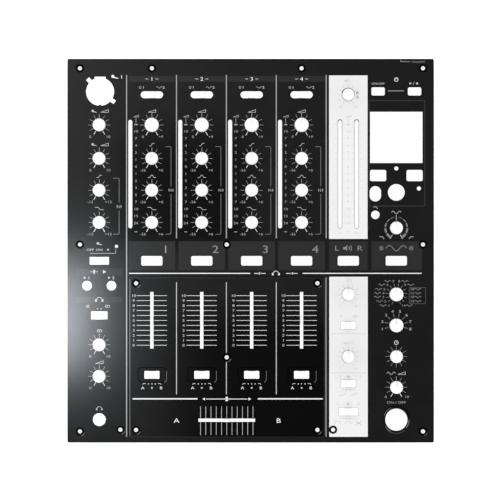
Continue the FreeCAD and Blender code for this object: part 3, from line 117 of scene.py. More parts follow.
# Printed areas of the top plate: left, right, front, rear
HALF_CELL = 20.3
CELL_ROW, HEADER_ROW = (-16.9, 8.2), (147.4, 152.5)
START_ROW, PHONES_ROW = (-21.3, -15.5), (-45.1, -40.3)
MIC_COLUMN, MASTER_COLUMN, EFFECTS_COLUMN = (-152.0, -112.0), (68.5, 102.0), (105.5, 149.5)
STRIPS = [(68.4, 102.0, 10.3, 153.0), (68.6, 102.2, inset_low.y, -22.7)]
HEADERS = [(x - HALF_CELL, x + HALF_CELL, *HEADER_ROW) for x in channel_x]
HEADERS += [(*MIC_COLUMN, *row) for row in (START_ROW, PHONES_ROW)]
CELLS = [(x - HALF_CELL, x + HALF_CELL, *CELL_ROW) for x in channel_x]
CELLS += [(*column, *CELL_ROW) for column in (MASTER_COLUMN, EFFECTS_COLUMN)]


def grey(value):
    """A grey as a colour."""
    return (value, value, value, 1.0)


class Shader:
    """A Principled material and the nodes that feed it."""

    NOISE_LOW, NOISE_HIGH = 0.3, 0.7
    COLOUR_INPUTS, COLOUR_RESULT = (0, 6, 7), 2

    def __init__(self, name, **constants):
        self.material = bpy.data.materials.new(name)
        self.material.use_nodes = True
        self.tree = self.material.node_tree
        self.surface = self.tree.nodes["Principled BSDF"]
        self.place = self.add("ShaderNodeTexCoord").outputs["Object"]
        for socket, value in constants.items():
            self.surface.inputs[socket.replace("_", " ")].default_value = value

    def add(self, kind, **inputs):
        """A new node, with its inputs set to constants or fed by sockets."""
        made = self.tree.nodes.new(kind)
        for socket, value in inputs.items():
            self.feed(made.inputs[socket.replace("_", " ")], value)
        return made

    def feed(self, socket, value):
        """Set an input, or link it."""
        if isinstance(value, bpy.types.NodeSocket):
            self.tree.links.new(value, socket)
        else:
            socket.default_value = value

    def axes(self):
        """The place on the part, split into X, Y and Z."""
        return self.add("ShaderNodeSeparateXYZ", Vector=self.place).outputs

    def noise(self, size):
        """Noise whose lumps have a given size."""
        return self.add("ShaderNodeTexNoise", Vector=self.place, Scale=1 / (size * MM)).outputs[0]

    def spread(self, value, low, high):
        """Stretch the middle of a noise to a range."""
        ends = {"From_Min": self.NOISE_LOW, "From_Max": self.NOISE_HIGH, "To_Min": low, "To_Max": high}
        return self.add("ShaderNodeMapRange", Value=value, **ends).outputs["Result"]

    def mix(self, share, first, second):
        """Mix of two colours."""
        made = self.add("ShaderNodeMix")
        made.data_type = "RGBA"
        for place, value in zip(self.COLOUR_INPUTS, (share, first, second)):
            self.feed(made.inputs[place], value)
        return made.outputs[self.COLOUR_RESULT]

    def math(self, operation, *values):
        """Result of a math node."""
        made = self.add("ShaderNodeMath")
        made.operation = operation
        for socket, value in zip(made.inputs, values):
            self.feed(socket, value)
        return made.outputs[0]

    def fade(self, place, clear, full):
        """Soft step along one direction, from nothing to all."""
        low, high = sorted((clear * MM, full * MM))
        made = self.add("ShaderNodeMapRange", Value=place, From_Min=low, From_Max=high)
        made.interpolation_type = "SMOOTHSTEP"
        rising = made.outputs["Result"]
        return rising if full > clear else self.math("SUBTRACT", 1.0, rising)

    def glow(self, strength):
        """White light from the surface itself."""
        self.surface.inputs["Emission Color"].default_value = grey(1.0)
        self.surface.inputs["Emission Strength"].default_value = strength

    def paint(self, colour, gloss):
        """Feed the surface its colour and roughness."""
        self.colour = colour
        self.gloss = gloss
        self.feed(self.surface.inputs["Base Color"], colour)
        self.feed(self.surface.inputs["Roughness"], gloss)


def grained(name, colour, roughness, grain, depth, blotch=30.0, vary=0.06, gloss_vary=0.05, **more):
    """Material with a fine grain, and a colour and gloss that vary a little."""
    shader = Shader(name, **more)
    slow = shader.noise(blotch)
    fine = shader.noise(grain)
    dark = [part * (1 - vary) for part in colour[:3]] + [1.0]
    light = [min(1.0, part * (1 + vary)) for part in colour[:3]] + [1.0]
    gloss = shader.spread(fine, roughness - gloss_vary, roughness + gloss_vary)
    shader.paint(shader.mix(shader.spread(slow, 0.0, 1.0), dark, light), gloss)
    relief = shader.add("ShaderNodeBump", Height=fine, Distance=depth * MM)
    shader.feed(shader.surface.inputs["Normal"], relief.outputs["Normal"])
    return shader


def repaint(shader, share, colour, roughness):
    """Cover a share of the surface with another colour and gloss."""
    gap = shader.math("SUBTRACT", roughness, shader.gloss)
    gloss = shader.math("MULTIPLY_ADD", share, gap, shader.gloss)
    shader.paint(shader.mix(share, shader.colour, colour), gloss)


def overprint(shader, areas, colour, roughness):
    """Another paint inside rectangles of the plate's top face."""
    axes = shader.axes()
    inside = 0.0
    for left, right, front, rear in areas:
        across = shader.math("COMPARE", axes["X"], (left + right) / 2 * MM, (right - left) / 2 * MM)
        along = shader.math("COMPARE", axes["Y"], (front + rear) / 2 * MM, (rear - front) / 2 * MM)
        inside = shader.math("MULTIPLY_ADD", across, along, inside)
    on_top = shader.math("GREATER_THAN", axes["Z"], (plate_top - SKIN) * MM)
    repaint(shader, shader.math("MULTIPLY", inside, on_top), colour, roughness)


def darken_below(shader, depth):
    """Painted shade: black for all that lies deeper than a depth under the plate's top."""
    below = shader.math("LESS_THAN", shader.axes()["Z"], (plate_top - depth) * MM)
    repaint(shader, below, SHADOW_BLACK, SHADOW_ROUGH)


def rubbed(shader, left, right, front, rear, colour, roughness):
    """Painted shade: deeper, smoother black in an area with soft sides, each given by where it begins
    and is full.
    """
    axes = shader.axes()
    across = shader.math("MULTIPLY", shader.fade(axes["X"], *left), shader.fade(axes["X"], *right))
    along = shader.math("MULTIPLY", shader.fade(axes["Y"], *front), shader.fade(axes["Y"], *rear))
    repaint(shader, shader.math("MULTIPLY", across, along), colour, roughness)


def make_ink(name, shade, roughness, vary=0.05, **more):
    """Material of the print and the knobs' pointers."""
    return grained(name, grey(shade), roughness, INK_GRAIN, INK_RELIEF, vary=vary, **more)


# Materials: each has a colour, a roughness, the size of its grain and the depth of its relief
SKIN, LENS_DROP = 0.05, 0.5
PLATE_ROUGH, SHADE_PATCH_ROUGH, SHADOW_ROUGH = 0.38, 0.30, 0.9
SHADOW_BLACK, INSET_SHADE_BLACK = grey(0.0015), grey(0.0008)
INK_GRAIN, INK_RELIEF = 0.3, 0.006
SATIN = dict(grain=0.35, depth=0.012, blotch=18.0, vary=0.15, gloss_vary=0.03, Specular_IOR_Level=0.12)
PLASTIC = dict(grain=0.25, depth=0.008, vary=0.012)
PLATE_SHADE_PATCH = dict(left=(-135, -90), right=(15, -25), front=(-10, 20), rear=(130, 70))
INSET_SHADE_PATCH = dict(left=(-110, -25), right=(120, 100), front=(-190, -170), rear=(-28, -85))

plate_paint = grained("satin_black_plate", grey(0.0060), PLATE_ROUGH, **SATIN)
# Painted shade: a darker, glossier patch across the first two channel columns
rubbed(plate_paint, **PLATE_SHADE_PATCH, colour=SHADOW_BLACK, roughness=SHADE_PATCH_ROUGH)
overprint(plate_paint, HEADERS, grey(0.0200), PLATE_ROUGH)
overprint(plate_paint, CELLS, grey(0.0215), PLATE_ROUGH)
overprint(plate_paint, STRIPS, grey(0.80), 0.5)
inset_paint = grained("satin_black_inset", grey(0.0080), 0.35, **SATIN)
# Painted shade: a darker, glossier patch over the inset panel, away from its left side and rear
rubbed(inset_paint, **INSET_SHADE_PATCH, colour=INSET_SHADE_BLACK, roughness=SHADE_PATCH_ROUGH)
hole_shade_black = grained("hole_shade_black", SHADOW_BLACK, SHADOW_ROUGH, 0.5, 0.01, Specular_IOR_Level=0.0)
case_paint = grained("satin_black_case", grey(0.012), 0.45, 0.5, 0.02, Specular_IOR_Level=0.35)
white_plastic = grained("white_plastic", grey(0.90), 0.42, **PLASTIC)
# Painted shade: the controls turn black below the plate's top, so the gaps round them look dark
darken_below(white_plastic, SKIN)
white_lens = grained("white_lens", grey(0.92), 0.16, 8.0, 0.02, vary=0.01, Coat_Weight=0.3)
# Painted light: the lenses glow faintly and evenly; below their top they turn black as painted shade
white_lens.glow(0.07)
darken_below(white_lens, LENS_DROP)
white_seal_painted_glow = grained("white_seal_painted_glow", grey(0.92), 0.9, 0.2, 0.02, vary=0.02)
# Painted light: the seals and shutters glow a little so they stay white in their slots
white_seal_painted_glow.glow(0.12)
white_socket_painted_glow = grained("white_socket_painted_glow", grey(0.90), 0.42, **PLASTIC)
white_socket_painted_glow.glow(0.12)
inner_painted_glow = grained("inner_painted_glow", grey(0.90), 0.5, **PLASTIC)
inner_painted_glow.glow(0.75)
zinc = grained("zinc_plated_steel", grey(0.84), 0.5, 0.4, 0.01, vary=0.03, Specular_IOR_Level=0.1)
nickel = grained("nickel", (0.62, 0.60, 0.56, 1.0), 0.24, 0.6, 0.004, vary=0.05, Metallic=1.0)
rubber = grained("foot_rubber", grey(0.022), 0.85, 0.6, 0.06, vary=0.15)
socket_black = grained("socket_black", grey(0.018), 0.42, 0.3, 0.012, vary=0.1)
board_green = grained("board_green", (0.02, 0.12, 0.06, 1.0), 0.35, 1.2, 0.01, blotch=4.0, vary=0.3)
dark_case = grained("dark_case", grey(0.06), 0.5, 0.4, 0.01, vary=0.1)
copper = grained("copper_winding", (0.55, 0.22, 0.09, 1.0), 0.35, 0.5, 0.1, vary=0.15, Metallic=1.0)
phono_white = grained("phono_white", grey(0.8), 0.35, 0.5, 0.006, vary=0.03)
phono_red = grained("phono_red", (0.55, 0.02, 0.02, 1.0), 0.35, 0.5, 0.006, vary=0.05)
pointer_grey = make_ink("pointer_grey", 0.12, 0.5)


def dress(node, *shaders, pick=None):
    """Give a CAD node its materials; pick chooses one for each face from its middle and normal."""
    mesh = nodes[node].data
    mesh.materials.clear()
    for shader in shaders:
        mesh.materials.append(shader.material)
    for face in mesh.polygons:
        face.material_index = pick(face.center / MM, face.normal) if pick else 0


# Painted shade: walls of the openings and floors of the screw holes are a plain black without shine
HOLE_DEPTH, OUTER_EDGE = 0.9, 0.5


def hole_face(middle, normal):
    """Faces well below the plate's top, apart from its outer sides."""
    inside = abs(middle.x) < plate_high.x - OUTER_EDGE and abs(middle.y) < plate_high.y - OUTER_EDGE
    return int(inside and middle.z < plate_top - HOLE_DEPTH)


dress("control_panel", plate_paint, hole_shade_black, pick=hole_face)
dress("fader_panel", inset_paint, hole_shade_black, pick=hole_face)
for name in ("chassis_tray", "rear_panel"):
    dress(name, case_paint)
dress("support_posts", nickel)
dress("panel_screws", zinc)
dress("rubber_feet", rubber)
dress("rotary_pots", dark_case)
for name in ("display_window", "meter_lenses"):
    dress(name, white_lens)
controls = [name for name in frame["bodies"] if name != CHASSIS]
for name in (*controls, "key_switches", "slide_switches", "fader_rails"):
    dress(name, white_plastic)

# The top sockets are white all through, with a faint painted glow, and a brighter painted glow inside
SOCKET_RIM = 0.5
socket_floor = plate_top - SOCKET_RIM
for name in ("mic_jack", "phones_jack"):
    dress(name, white_socket_painted_glow, inner_painted_glow, pick=lambda middle, normal: int(middle.z < socket_floor))

# Inside the case
board_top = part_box("rotary_pots")[0].z / MM
dress("control_board", board_green, dark_case, pick=lambda middle, normal: int(middle.z > board_top))
supply_low, supply_high = (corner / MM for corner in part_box("power_supply"))
SUPPLY_PLATE, COIL_SHARE = 2.5, 0.66


def supply_face(middle, normal):
    """Plate, then winding, then capacitors."""
    if middle.z < supply_low.z + SUPPLY_PLATE:
        return 0
    return 1 if middle.x < supply_low.x + COIL_SHARE * (supply_high.x - supply_low.x) else 2


dress("power_supply", nickel, copper, dark_case, pick=supply_face)

# Rear sockets: nickel phono barrels with white and red faces, black housings for the rest
PHONO_LENGTH, PHONO_SPREAD, PHONO_REACH = 9.0, 7.5, 6.0
PHONO_FACE, FACING_REAR = 0.5, 0.9
FIRST_PHONO_X = -139.1
socket_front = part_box("rear_connectors")[1].y / MM
rear_face = socket_front - PHONO_LENGTH
phono_columns = [FIRST_PHONO_X] + channel_x


def rear_socket_face(middle, normal):
    """Housing, barrel, white face or red face."""
    column = min(phono_columns, key=lambda x: abs(middle.x - x))
    if abs(abs(middle.x - column) - PHONO_SPREAD) > PHONO_REACH or middle.y < rear_face:
        return 0
    if normal.y > FACING_REAR and middle.y > socket_front - PHONO_FACE:
        return 2 if middle.x > column else 3
    return 1


dress("rear_connectors", socket_black, nickel, phono_white, phono_red, pick=rear_socket_face)


# Lettering
@functools.cache
def letters(words):
    """Flat mesh of a short text on its baseline, centred."""
    curve = bpy.data.curves.new("letters", "FONT")
    curve.body = words
    curve.align_x = "CENTER"
    curve.resolution_u = 3
    carrier = bpy.data.objects.new("letters", curve)
    mesh = bpy.data.meshes.new_from_object(carrier)
    bpy.data.objects.remove(carrier)
    return mesh


digit_height = max(corner.co.y for corner in letters("0").vertices)


def polar(x, y, radius, angle):
    """Point on a dial; the angle is in degrees, clockwise from the rear."""
    turn = math.radians(angle)
    return x + radius * math.sin(turn), y + radius * math.cos(turn)


def corners(left, right, front, rear):
    """Corners of a rectangle."""
    return [(left, front), (right, front), (right, rear), (left, rear)]


def add_object(name, data):
    """New object in the scene."""
    made = bpy.data.objects.new(name, data)
    bpy.context.scene.collection.objects.link(made)
    return made


# Plain symbols, one unit high, drawn from lines, filled areas, rings and dots
SYMBOLS = {
    "ramp": {"lines": [[(-1.3, -0.4), (1.3, -0.4), (1.3, 0.5), (-1.3, -0.4)]]},
    "high": {"lines": [[(-0.9, -0.4), (-0.3, -0.4), (0.2, 0.4), (0.9, 0.4)]]},
    "low": {"lines": [[(-1.5, 0.4), (-0.4, 0.4), (0.3, -0.4), (1.5, -0.4)]]},
    "mid": {"lines": [[(-1.4, -0.4), (-0.7, -0.4), (-0.2, 0.4), (0.2, 0.4), (0.7, -0.4), (1.4, -0.4)]]},
    "bands": {
        "lines": [[(x, -0.5), (x, 0.5)] for x in (-0.7, 0.0, 0.7)],
        "dots": [(-0.7, 0.2, 0.22), (0.0, -0.2, 0.22), (0.7, 0.1, 0.22)],
    },
    "mic": {
        "dots": [(-0.5, 0.1, 0.4)],
        "areas": [[(-0.3, -0.3), (-0.15, 0.0), (1.0, -0.4), (0.9, -0.5)]],
    },
    "phones": {
        "arcs": [(0.0, -0.2, 0.7, -95, 95)],
        "areas": [corners(-0.95, -0.55, -0.5, 0.05), corners(0.55, 0.95, -0.5, 0.05)],
    },
    "play": {"areas": [[(-0.4, -0.5), (0.5, 0.0), (-0.4, 0.5)]]},
    "stop": {"areas": [corners(-0.4, 0.4, -0.4, 0.4)]},
    "mono": {"arcs": [(0.0, 0.0, 0.4, 0, 360)]},
    "stereo": {"arcs": [(-0.28, 0.0, 0.4, 0, 360), (0.42, 0.0, 0.4, 200, 520)]},
    "clock": {"arcs": [(0.0, 0.0, 0.5, 0, 360)], "lines": [[(0.0, 0.3), (0.0, 0.0), (0.25, -0.1)]]},
    "wave": {"lines": [[(t / 6 - 1.5, 0.4 * math.sin(t / 6 * math.pi)) for t in range(19)]]},
    "low_pass": {"lines": [[(-0.9, 0.3), (0.2, 0.3), (0.8, -0.5)]]},
    "high_pass": {"lines": [[(-0.8, -0.5), (-0.2, 0.3), (0.9, 0.3)]]},
    "round_link": {
        "arcs": [(0.0, 0.0, 0.5, 0, 360)],
        "dots": [(*polar(0.0, 0.0, 0.28, turn), 0.08) for turn in range(-92, 93, 46)],
    },
    "power": {"arcs": [(0.0, 0.0, 0.42, 35, 325)], "lines": [[(0.0, 0.0), (0.0, 0.5)]]},
    "speaker": {
        "areas": [[(-0.9, -0.2), (-0.6, -0.2), (-0.2, -0.5), (-0.2, 0.5), (-0.6, 0.2), (-0.9, 0.2)]],
        "arcs": [(-0.2, 0.0, 0.4, 45, 135), (-0.2, 0.0, 0.75, 50, 130)],
    },
    "spark": {
        "lines": [[polar(0, 0, 0.5, turn), polar(0, 0, 0.15, turn)] for turn in range(0, 360, 45)],
    },
    "fader": {"lines": [[(-1.0, 0.0), (1.0, 0.0)]], "areas": [corners(-0.2, 0.2, -0.5, 0.5)]},
    "left": {"areas": [[(0.4, -0.5), (0.4, 0.5), (-0.5, 0.0)]]},
    "right": {"areas": [[(-0.4, 0.5), (-0.4, -0.5), (0.5, 0.0)]]},
    "late_curve": {"lines": [[(-1.0, -0.4), (0.0, -0.35), (0.6, -0.1), (0.9, 0.5)]]},
    "even_curve": {"lines": [[(-1.0, -0.4), (1.0, 0.4)]]},
    "flat_cross": {"lines": [[(-0.7, -0.5), (-0.5, 0.4), (0.5, 0.4), (0.7, -0.5)]]},
    "round_cross": {"arcs": [(0.0, -0.6, 0.9, -60, 60)]},
    "plain_cross": {
        "lines": [[(-0.7, side * 0.5), (0.0, -side * 0.15), (0.7, side * 0.5)] for side in SIDES],
    },
}

# From millimetres on the plate's top face to the frame
TOP_FACE = Matrix.Scale(MM, 4) @ Matrix.Translation((0, 0, plate_top))


class Print:
    """Flat shapes in one ink on one face, gathered into one thin piece."""

    LIFT = 0.02
    ARC_STEP = 12
    DOT_STEP = 30
    LETTER_STRETCH = 1.3
    MITRE_LIMIT = 0.4
    SYMBOL_LINE = 0.42

    def __init__(self, name, ink, face=TOP_FACE, depth=0.04):
        self.name = name
        self.ink = ink
        self.face = face
        self.depth = depth
        self.shapes = bmesh.new()

    def area(self, points):
        """Filled outline."""
        ahead = list(points[1:]) + [points[0]]
        turn = sum(a[0] * b[1] - b[0] * a[1] for a, b in zip(points, ahead))
        ordered = points if turn > 0 else list(reversed(points))
        self.shapes.faces.new([self.shapes.verts.new((x, y, 0)) for x, y in ordered])

    def block(self, left, right, front, rear):
        """Filled rectangle."""
        self.area(corners(left, right, front, rear))

    def bar(self, x, width, front, rear):
        """Filled rectangle around a middle."""
        self.block(x - width / 2, x + width / 2, front, rear)

    def stroke(self, points, width, closed=False):
        """Line of one width through points, with mitred corners."""
        path = [Vector(point) for point in points]
        steps = [(b - a).normalized() for a, b in zip(path, path[1:])]
        if closed:
            steps.append((path[0] - path[-1]).normalized())
        rails = []
        for place, point in enumerate(path):
            before = steps[place - 1] if place or closed else steps[0]
            after = steps[place] if place < len(steps) else steps[-1]
            side = Vector((-before.y - after.y, before.x + after.x)).normalized()
            reach = width / 2 / max(self.MITRE_LIMIT, side.dot(Vector((-after.y, after.x))))
            ends = [point + side * reach, point - side * reach]
            rails.append([self.shapes.verts.new((*end, 0)) for end in ends])
        ahead = rails[1:] + rails[:1] if closed else rails[1:]
        for (left, right), (next_left, next_right) in zip(rails, ahead):
            self.shapes.faces.new((right, next_right, next_left, left))

    def dash(self, x, y, reach, width):
        """Line across, around a middle."""
        self.stroke([(x - reach, y), (x + reach, y)], width)

    def arc(self, x, y, radius, start, end, width):
        """Part of a ring, or a whole one."""
        whole = end - start >= 360
        count = max(3, round((end - start) / self.ARC_STEP))
        step = (end - start) / count
        turns = [start + step * place for place in range(count if whole else count + 1)]
        self.stroke([polar(x, y, radius, turn) for turn in turns], width, closed=whole)

    def dot(self, x, y, radius):
        """Filled disc."""
        self.area([polar(x, y, radius, -turn) for turn in range(0, 360, self.DOT_STEP)])

    def dots(self, x, y, shifts, radius):
        """Row of discs around a middle."""
        for shift in shifts:
            self.dot(x + shift, y, radius)

    def text(self, words, x, y, height):
        """Numbers, letters, ON or OFF, centred on a point."""
        scale = height / digit_height
        first = len(self.shapes.verts)
        self.shapes.from_mesh(letters(words))
        self.shapes.verts.ensure_lookup_table()
        for corner in self.shapes.verts[first:]:
            across = corner.co.x * scale * self.LETTER_STRETCH
            corner.co = (x + across, y - height / 2 + corner.co.y * scale, 0)

    def symbol(self, name, x, y, height, weight=SYMBOL_LINE):
        """One of the plain symbols, centred on a point."""

        def put(point):
            return x + point[0] * height, y + point[1] * height

        shape = SYMBOLS[name]
        for outline in shape.get("areas", ()):
            self.area([put(point) for point in outline])
        for points in shape.get("lines", ()):
            self.stroke([put(point) for point in points], weight)
        for across, along, radius, start, end in shape.get("arcs", ()):
            self.arc(*put((across, along)), radius * height, start, end, weight)
        for across, along, radius in shape.get("dots", ()):
            self.dot(*put((across, along)), radius * height)

    def row(self, middle, y, *marks):
        """Symbols or texts in a row: what, across from a middle, height, and a symbol's line width."""
        for what, across, *size in marks:
            draw = self.symbol if what in SYMBOLS else self.text
            draw(what, middle + across, y, *size)

    def ticks(self, x, y, inner, outer, angles, width):
        """Marks around a dial."""
        for angle in angles:
            self.stroke([polar(x, y, inner, angle), polar(x, y, outer, angle)], width)

    def finish(self):
        """Turn the shapes into a piece that rides on the chassis."""
        mesh = bpy.data.meshes.new(self.name)
        self.shapes.to_mesh(mesh)
        self.shapes.free()
        mesh.transform(self.face @ Matrix.Translation((0, 0, self.LIFT)))
        mesh.materials.append(self.ink.material)
        piece = add_object(self.name, mesh)
        thick = piece.modifiers.new("thickness", "SOLIDIFY")
        thick.thickness = self.depth * MM
        thick.offset = -1.0
        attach(piece, CHASSIS)


# Inks, and the print in each; the last three also carry painted shade and painted highlights
light_ink = make_ink("light_ink", 0.48, 0.6)
white_print = Print("print_white", make_ink("white_ink", 0.82, 0.6))
light_print = Print("print_light", light_ink)
line_print = Print("print_lines", make_ink("line_ink", 0.30, 0.55))
dim_print = Print("print_dim", make_ink("dim_ink", 0.19, 0.55))
faint_print = Print("print_faint", make_ink("faint_ink", 0.018, 0.5))
pale_print = Print("print_pale", make_ink("pale_ink", 0.58, 0.55))
painted_shade_print = Print("painted_shade_edges", make_ink("edge_shadow", 0.002, 0.9, Specular_IOR_Level=0.0))
painted_highlight_print = Print("painted_highlight_edges", make_ink("edge_shine", 0.17, 0.4, vary=0.1))
slot_shade_and_marks_print = Print("slot_shade_and_marks", make_ink("slot_shadow_and_mark_ink", 0.12, 0.8))

# Sizes of the print
TEXT, SYMBOL = 2.1, 2.6
LABEL_RISE = 12.1
END_OUT, END_DROP = 7.8, 10.2
TICK_GAP, TICK_END, TRIM_TICK_END = 0.6, 9.5, 10.3
TICK, HAIR, THIN = 0.32, 0.35, 0.5
PALE_LINE, PALE_HAIR = 0.4, 0.3
DIAL, DIAL_ENDS = range(-150, 151, 30), (-150, 150)
FULL_DIAL = range(0, 360, 30)
CHANNEL_SELECT = range(-105, 106, 30)
EFFECT_SELECT = range(-156, 157, 24)
TWO_DOTS, THREE_DOTS = (-1.6, 1.6), (-3.0, 0.0, 3.0)

# Dials on black: knob, symbols over it and the numbers at its ends
DIALS = {
    "mic_level_knob_1": (("mic", "ramp"), "0", "10"),
    "mic_level_knob_2": (("mic", "ramp"), "0", "10"),
    "mic_high_knob": (("high",), "-12", "+12"),
    "mic_low_knob": (("low",), "-12", "+12"),
    "headphone_mix_knob": (("stereo",), "0", "10"),
    "headphone_level_knob": (("ramp",), "0", "10"),
    "effect_depth_knob": (("wave", "ramp"), "0", "10"),
}
SYMBOL_PITCH = 9.0
WIDE_ENDS = {"effect_depth_knob": (9.2, 8.4)}
for n in CHANNELS:
    DIALS[f"trim_knob_{n}"] = (("ramp",), "0", "+9")
    for band in ("high", "mid", "low"):
        DIALS[f"{band}_knob_{n}"] = ((band,), "-26", "+6")
for knob, (symbols, least, most) in DIALS.items():
    x, y = spot(knob)
    hole = radius_of(knob) + TICK_GAP
    end = TRIM_TICK_END if knob.startswith("trim") else TICK_END
    line_print.ticks(x, y, hole, end, [turn for turn in DIAL[1:-1] if turn], TICK)
    light_print.ticks(x, y, hole, end, (0,), TICK)
    white_print.ticks(x, y, hole, end, DIAL_ENDS, THIN)
    for place, symbol in enumerate(symbols):
        shift = (place - (len(symbols) - 1) / 2) * SYMBOL_PITCH
        light_print.symbol(symbol, x + shift, y + LABEL_RISE, SYMBOL)
    out, drop = WIDE_ENDS.get(knob, (END_OUT, END_DROP))
    line_print.row(x, y - drop, (least, -out, TEXT), (most, out, TEXT))

# Column dividers
DIVIDER, DIVIDER_SHIFT = 0.9, -0.3
DIVIDER_REAR, DIVIDER_FRONT, LOWER_DIVIDER_REAR = 153.3, 10.9, -23.0
divider_x = [channel_x[0] + (place - 0.5) * pitch + DIVIDER_SHIFT for place in range(5)]
for x in divider_x:
    line_print.bar(x, DIVIDER, DIVIDER_FRONT, DIVIDER_REAR)
line_print.bar(divider_x[0], DIVIDER, inset_low.y, DIVIDER_FRONT)
dim_print.bar(divider_x[4], DIVIDER, inset_low.y, LOWER_DIVIDER_REAR)

# Channel columns: header number, selector marks, meter scale, key number and bracket of the tone knobs
HEADER_Y, HEADER_TEXT = 149.9, 3.0
HEADER_DASH_OUT, HEADER_DASH = 4.4, 1.2
SELECTOR_LABEL_Y, SELECTOR_TEXT, SELECTOR_WAVE = 142.5, 2.2, 1.7
KEY_NUMBER_OUT, KEY_NUMBER_Y, KEY_NUMBER = 12.0, 1.3, 6.5
SCALE = (10, 7, 4, 2, 1, 0, 1, 2, 3, 5, 7, 10, 15, 24)
SCALE_OUT, SCALE_REAR, SCALE_STEP = -13.9, 104.2, 6.16
OVER_Y, OVER_SYMBOL = 117.4, 1.8
OVER_STEM_WIDTH, OVER_STEM = 0.4, (111.4, 115.6)
OVER_BAR_WIDTH, OVER_BAR = 2.8, (109.5, 110.6)
FOOT_WIDTH, FOOT = 2.4, (16.2, 16.8)
BRACKET_IN, BRACKET_OUT, BRACKET_REAR, BRACKET_FRONT = 11.9, 16.7, 90.9, 14.4
BRACKET_GAP, BRACKET_CORNER, BRACKET_SYMBOL = 3.4, 0.8, 2.4


def bracket(inner, outer, rear, middle):
    """Two halves of a bracket that open towards a column's knobs, with a symbol between them."""
    for end, side in ((rear, 1), (BRACKET_FRONT, -1)):
        path = [(inner, end), (outer - BRACKET_CORNER, end), (outer, end - side * BRACKET_CORNER)]
        dim_print.stroke([*path, (outer, middle + side * BRACKET_GAP)], HAIR)
    light_print.symbol("bands", outer, middle, BRACKET_SYMBOL, HAIR)


def meter_scale(ink, x):
    """Numbers beside a level meter, with a mark for too much at the top."""
    ink.symbol("ramp", x, OVER_Y, OVER_SYMBOL)
    ink.bar(x, OVER_STEM_WIDTH, *OVER_STEM)
    ink.bar(x, OVER_BAR_WIDTH, *OVER_BAR)
    for place, number in enumerate(SCALE):
        ink.text(str(number), x, SCALE_REAR - place * SCALE_STEP, TEXT)
    ink.bar(x, FOOT_WIDTH, *FOOT)


mid_y = spot("mid_knob_1")[1]
for n, x in zip(CHANNELS, channel_x):
    white_print.text(str(n), x, HEADER_Y, HEADER_TEXT)
    for side in SIDES:
        light_print.dash(x + side * HEADER_DASH_OUT, HEADER_Y, HEADER_DASH, THIN)
    line_print.row(x, SELECTOR_LABEL_Y, ("mono", -10.2, SELECTOR_TEXT), ("wave", 6.5, SELECTOR_WAVE))
    light_print.row(x, SELECTOR_LABEL_Y, ("1", -7.4, SELECTOR_TEXT), ("2", 10.2, SELECTOR_TEXT))
    meter_scale(line_print, x + SCALE_OUT)
    bracket(x + BRACKET_IN, x + BRACKET_OUT, BRACKET_REAR, mid_y)
    dim_print.text(str(n), x + KEY_NUMBER_OUT, KEY_NUMBER_Y, KEY_NUMBER)

# Microphone and headphone column
MIC_TITLE_X, MIC_TITLE_Y = -115.6, 151.8
MIC_BRACKET = dict(inner=-119.9, outer=-114.8, rear=63.3, middle=38.5)
TALK_TITLE_Y, TALK_Y, TALK_TEXT = 6.2, 0.8, 2.0
TALK_DOT_OUT, TALK_DOT_Y, TALK_DOT = 7.6, 0.9, 0.8
TALK_LINE = [(-140.3, -2.3), (-117.8, -2.3), (-117.8, 1.6)]
START_TITLE_Y, START_Y, START_SPREAD = -18.4, -23.6, 10.65
MONITOR_TITLE_Y, MONITOR_Y, MONITOR_DOTS_Y, MONITOR_DOT = -42.6, -48.5, -50.7, 0.5
PHONES_Y = -137.6
white_print.row(MIC_TITLE_X, MIC_TITLE_Y, ("mic", -3.0, 3.4), ("1", 3.0, 3.0))
light_print.symbol("mic", mic_x, TALK_TITLE_Y, SYMBOL)
light_print.row(mic_x, TALK_Y, ("OFF", -7.9, TALK_TEXT), ("ON", 0.0, TALK_TEXT))
light_print.row(mic_x, START_TITLE_Y, ("fader", -4.5, 3.4), ("play", 4.5, 3.2))
for side, number in zip(SIDES, "12"):
    light_print.row(mic_x + side * START_SPREAD, START_Y, ("play", -2.0, 2.2), (number, 1.6, 2.4))
light_print.symbol("phones", mic_x, MONITOR_TITLE_Y, 3.8)
light_print.row(mic_x, MONITOR_Y, ("mono", -10.0, SYMBOL), ("stereo", 7.0, SYMBOL))
light_print.symbol("phones", mic_x, PHONES_Y, 3.0)
bracket(**MIC_BRACKET)
light_print.dot(mic_x + TALK_DOT_OUT, TALK_DOT_Y, TALK_DOT)
light_print.stroke(TALK_LINE, TICK)
light_print.dots(mic_x, MONITOR_DOTS_Y, TWO_DOTS, MONITOR_DOT)

# Cue row: a line to each side of its label, and marks over the keys of the last two columns
CUE_LINE = (-20.15, -19.35)
CUE_LINE_ENDS = ((-106.2, -0.5), (45.4, 149.2))
CUE_LABEL_X, CUE_LABEL_Y = 22.0, -19.6
CUE_ARROW_OUT, CUE_ARROW_Y, CUE_ARROW, CUE_ARROW_LINE = 14.0, -19.8, 2.2, 5.0
CELL_MARK_Y = 2.2
for ends in CUE_LINE_ENDS:
    white_print.block(*ends, *CUE_LINE)
white_print.symbol("phones", CUE_LABEL_X, CUE_LABEL_Y, 3.6)
for side, arrow in zip(SIDES, ("right", "left")):
    x = CUE_LABEL_X + side * CUE_ARROW_OUT
    white_print.symbol(arrow, x, CUE_ARROW_Y, CUE_ARROW)
    white_print.dash(x, CUE_ARROW_Y, CUE_ARROW_LINE, THIN)
dim_print.row(master_x, CELL_MARK_Y, ("speaker", 0.0, 5.0, 0.7), ("L", -10.0, 4.4), ("R", 10.0, 4.4))
sparks_beside = [("spark", side * 13.0, 4.0, THIN) for side in SIDES]
dim_print.row(effects_x, CELL_MARK_Y, ("wave", 0.0, 6.0, 0.6), *sparks_beside)

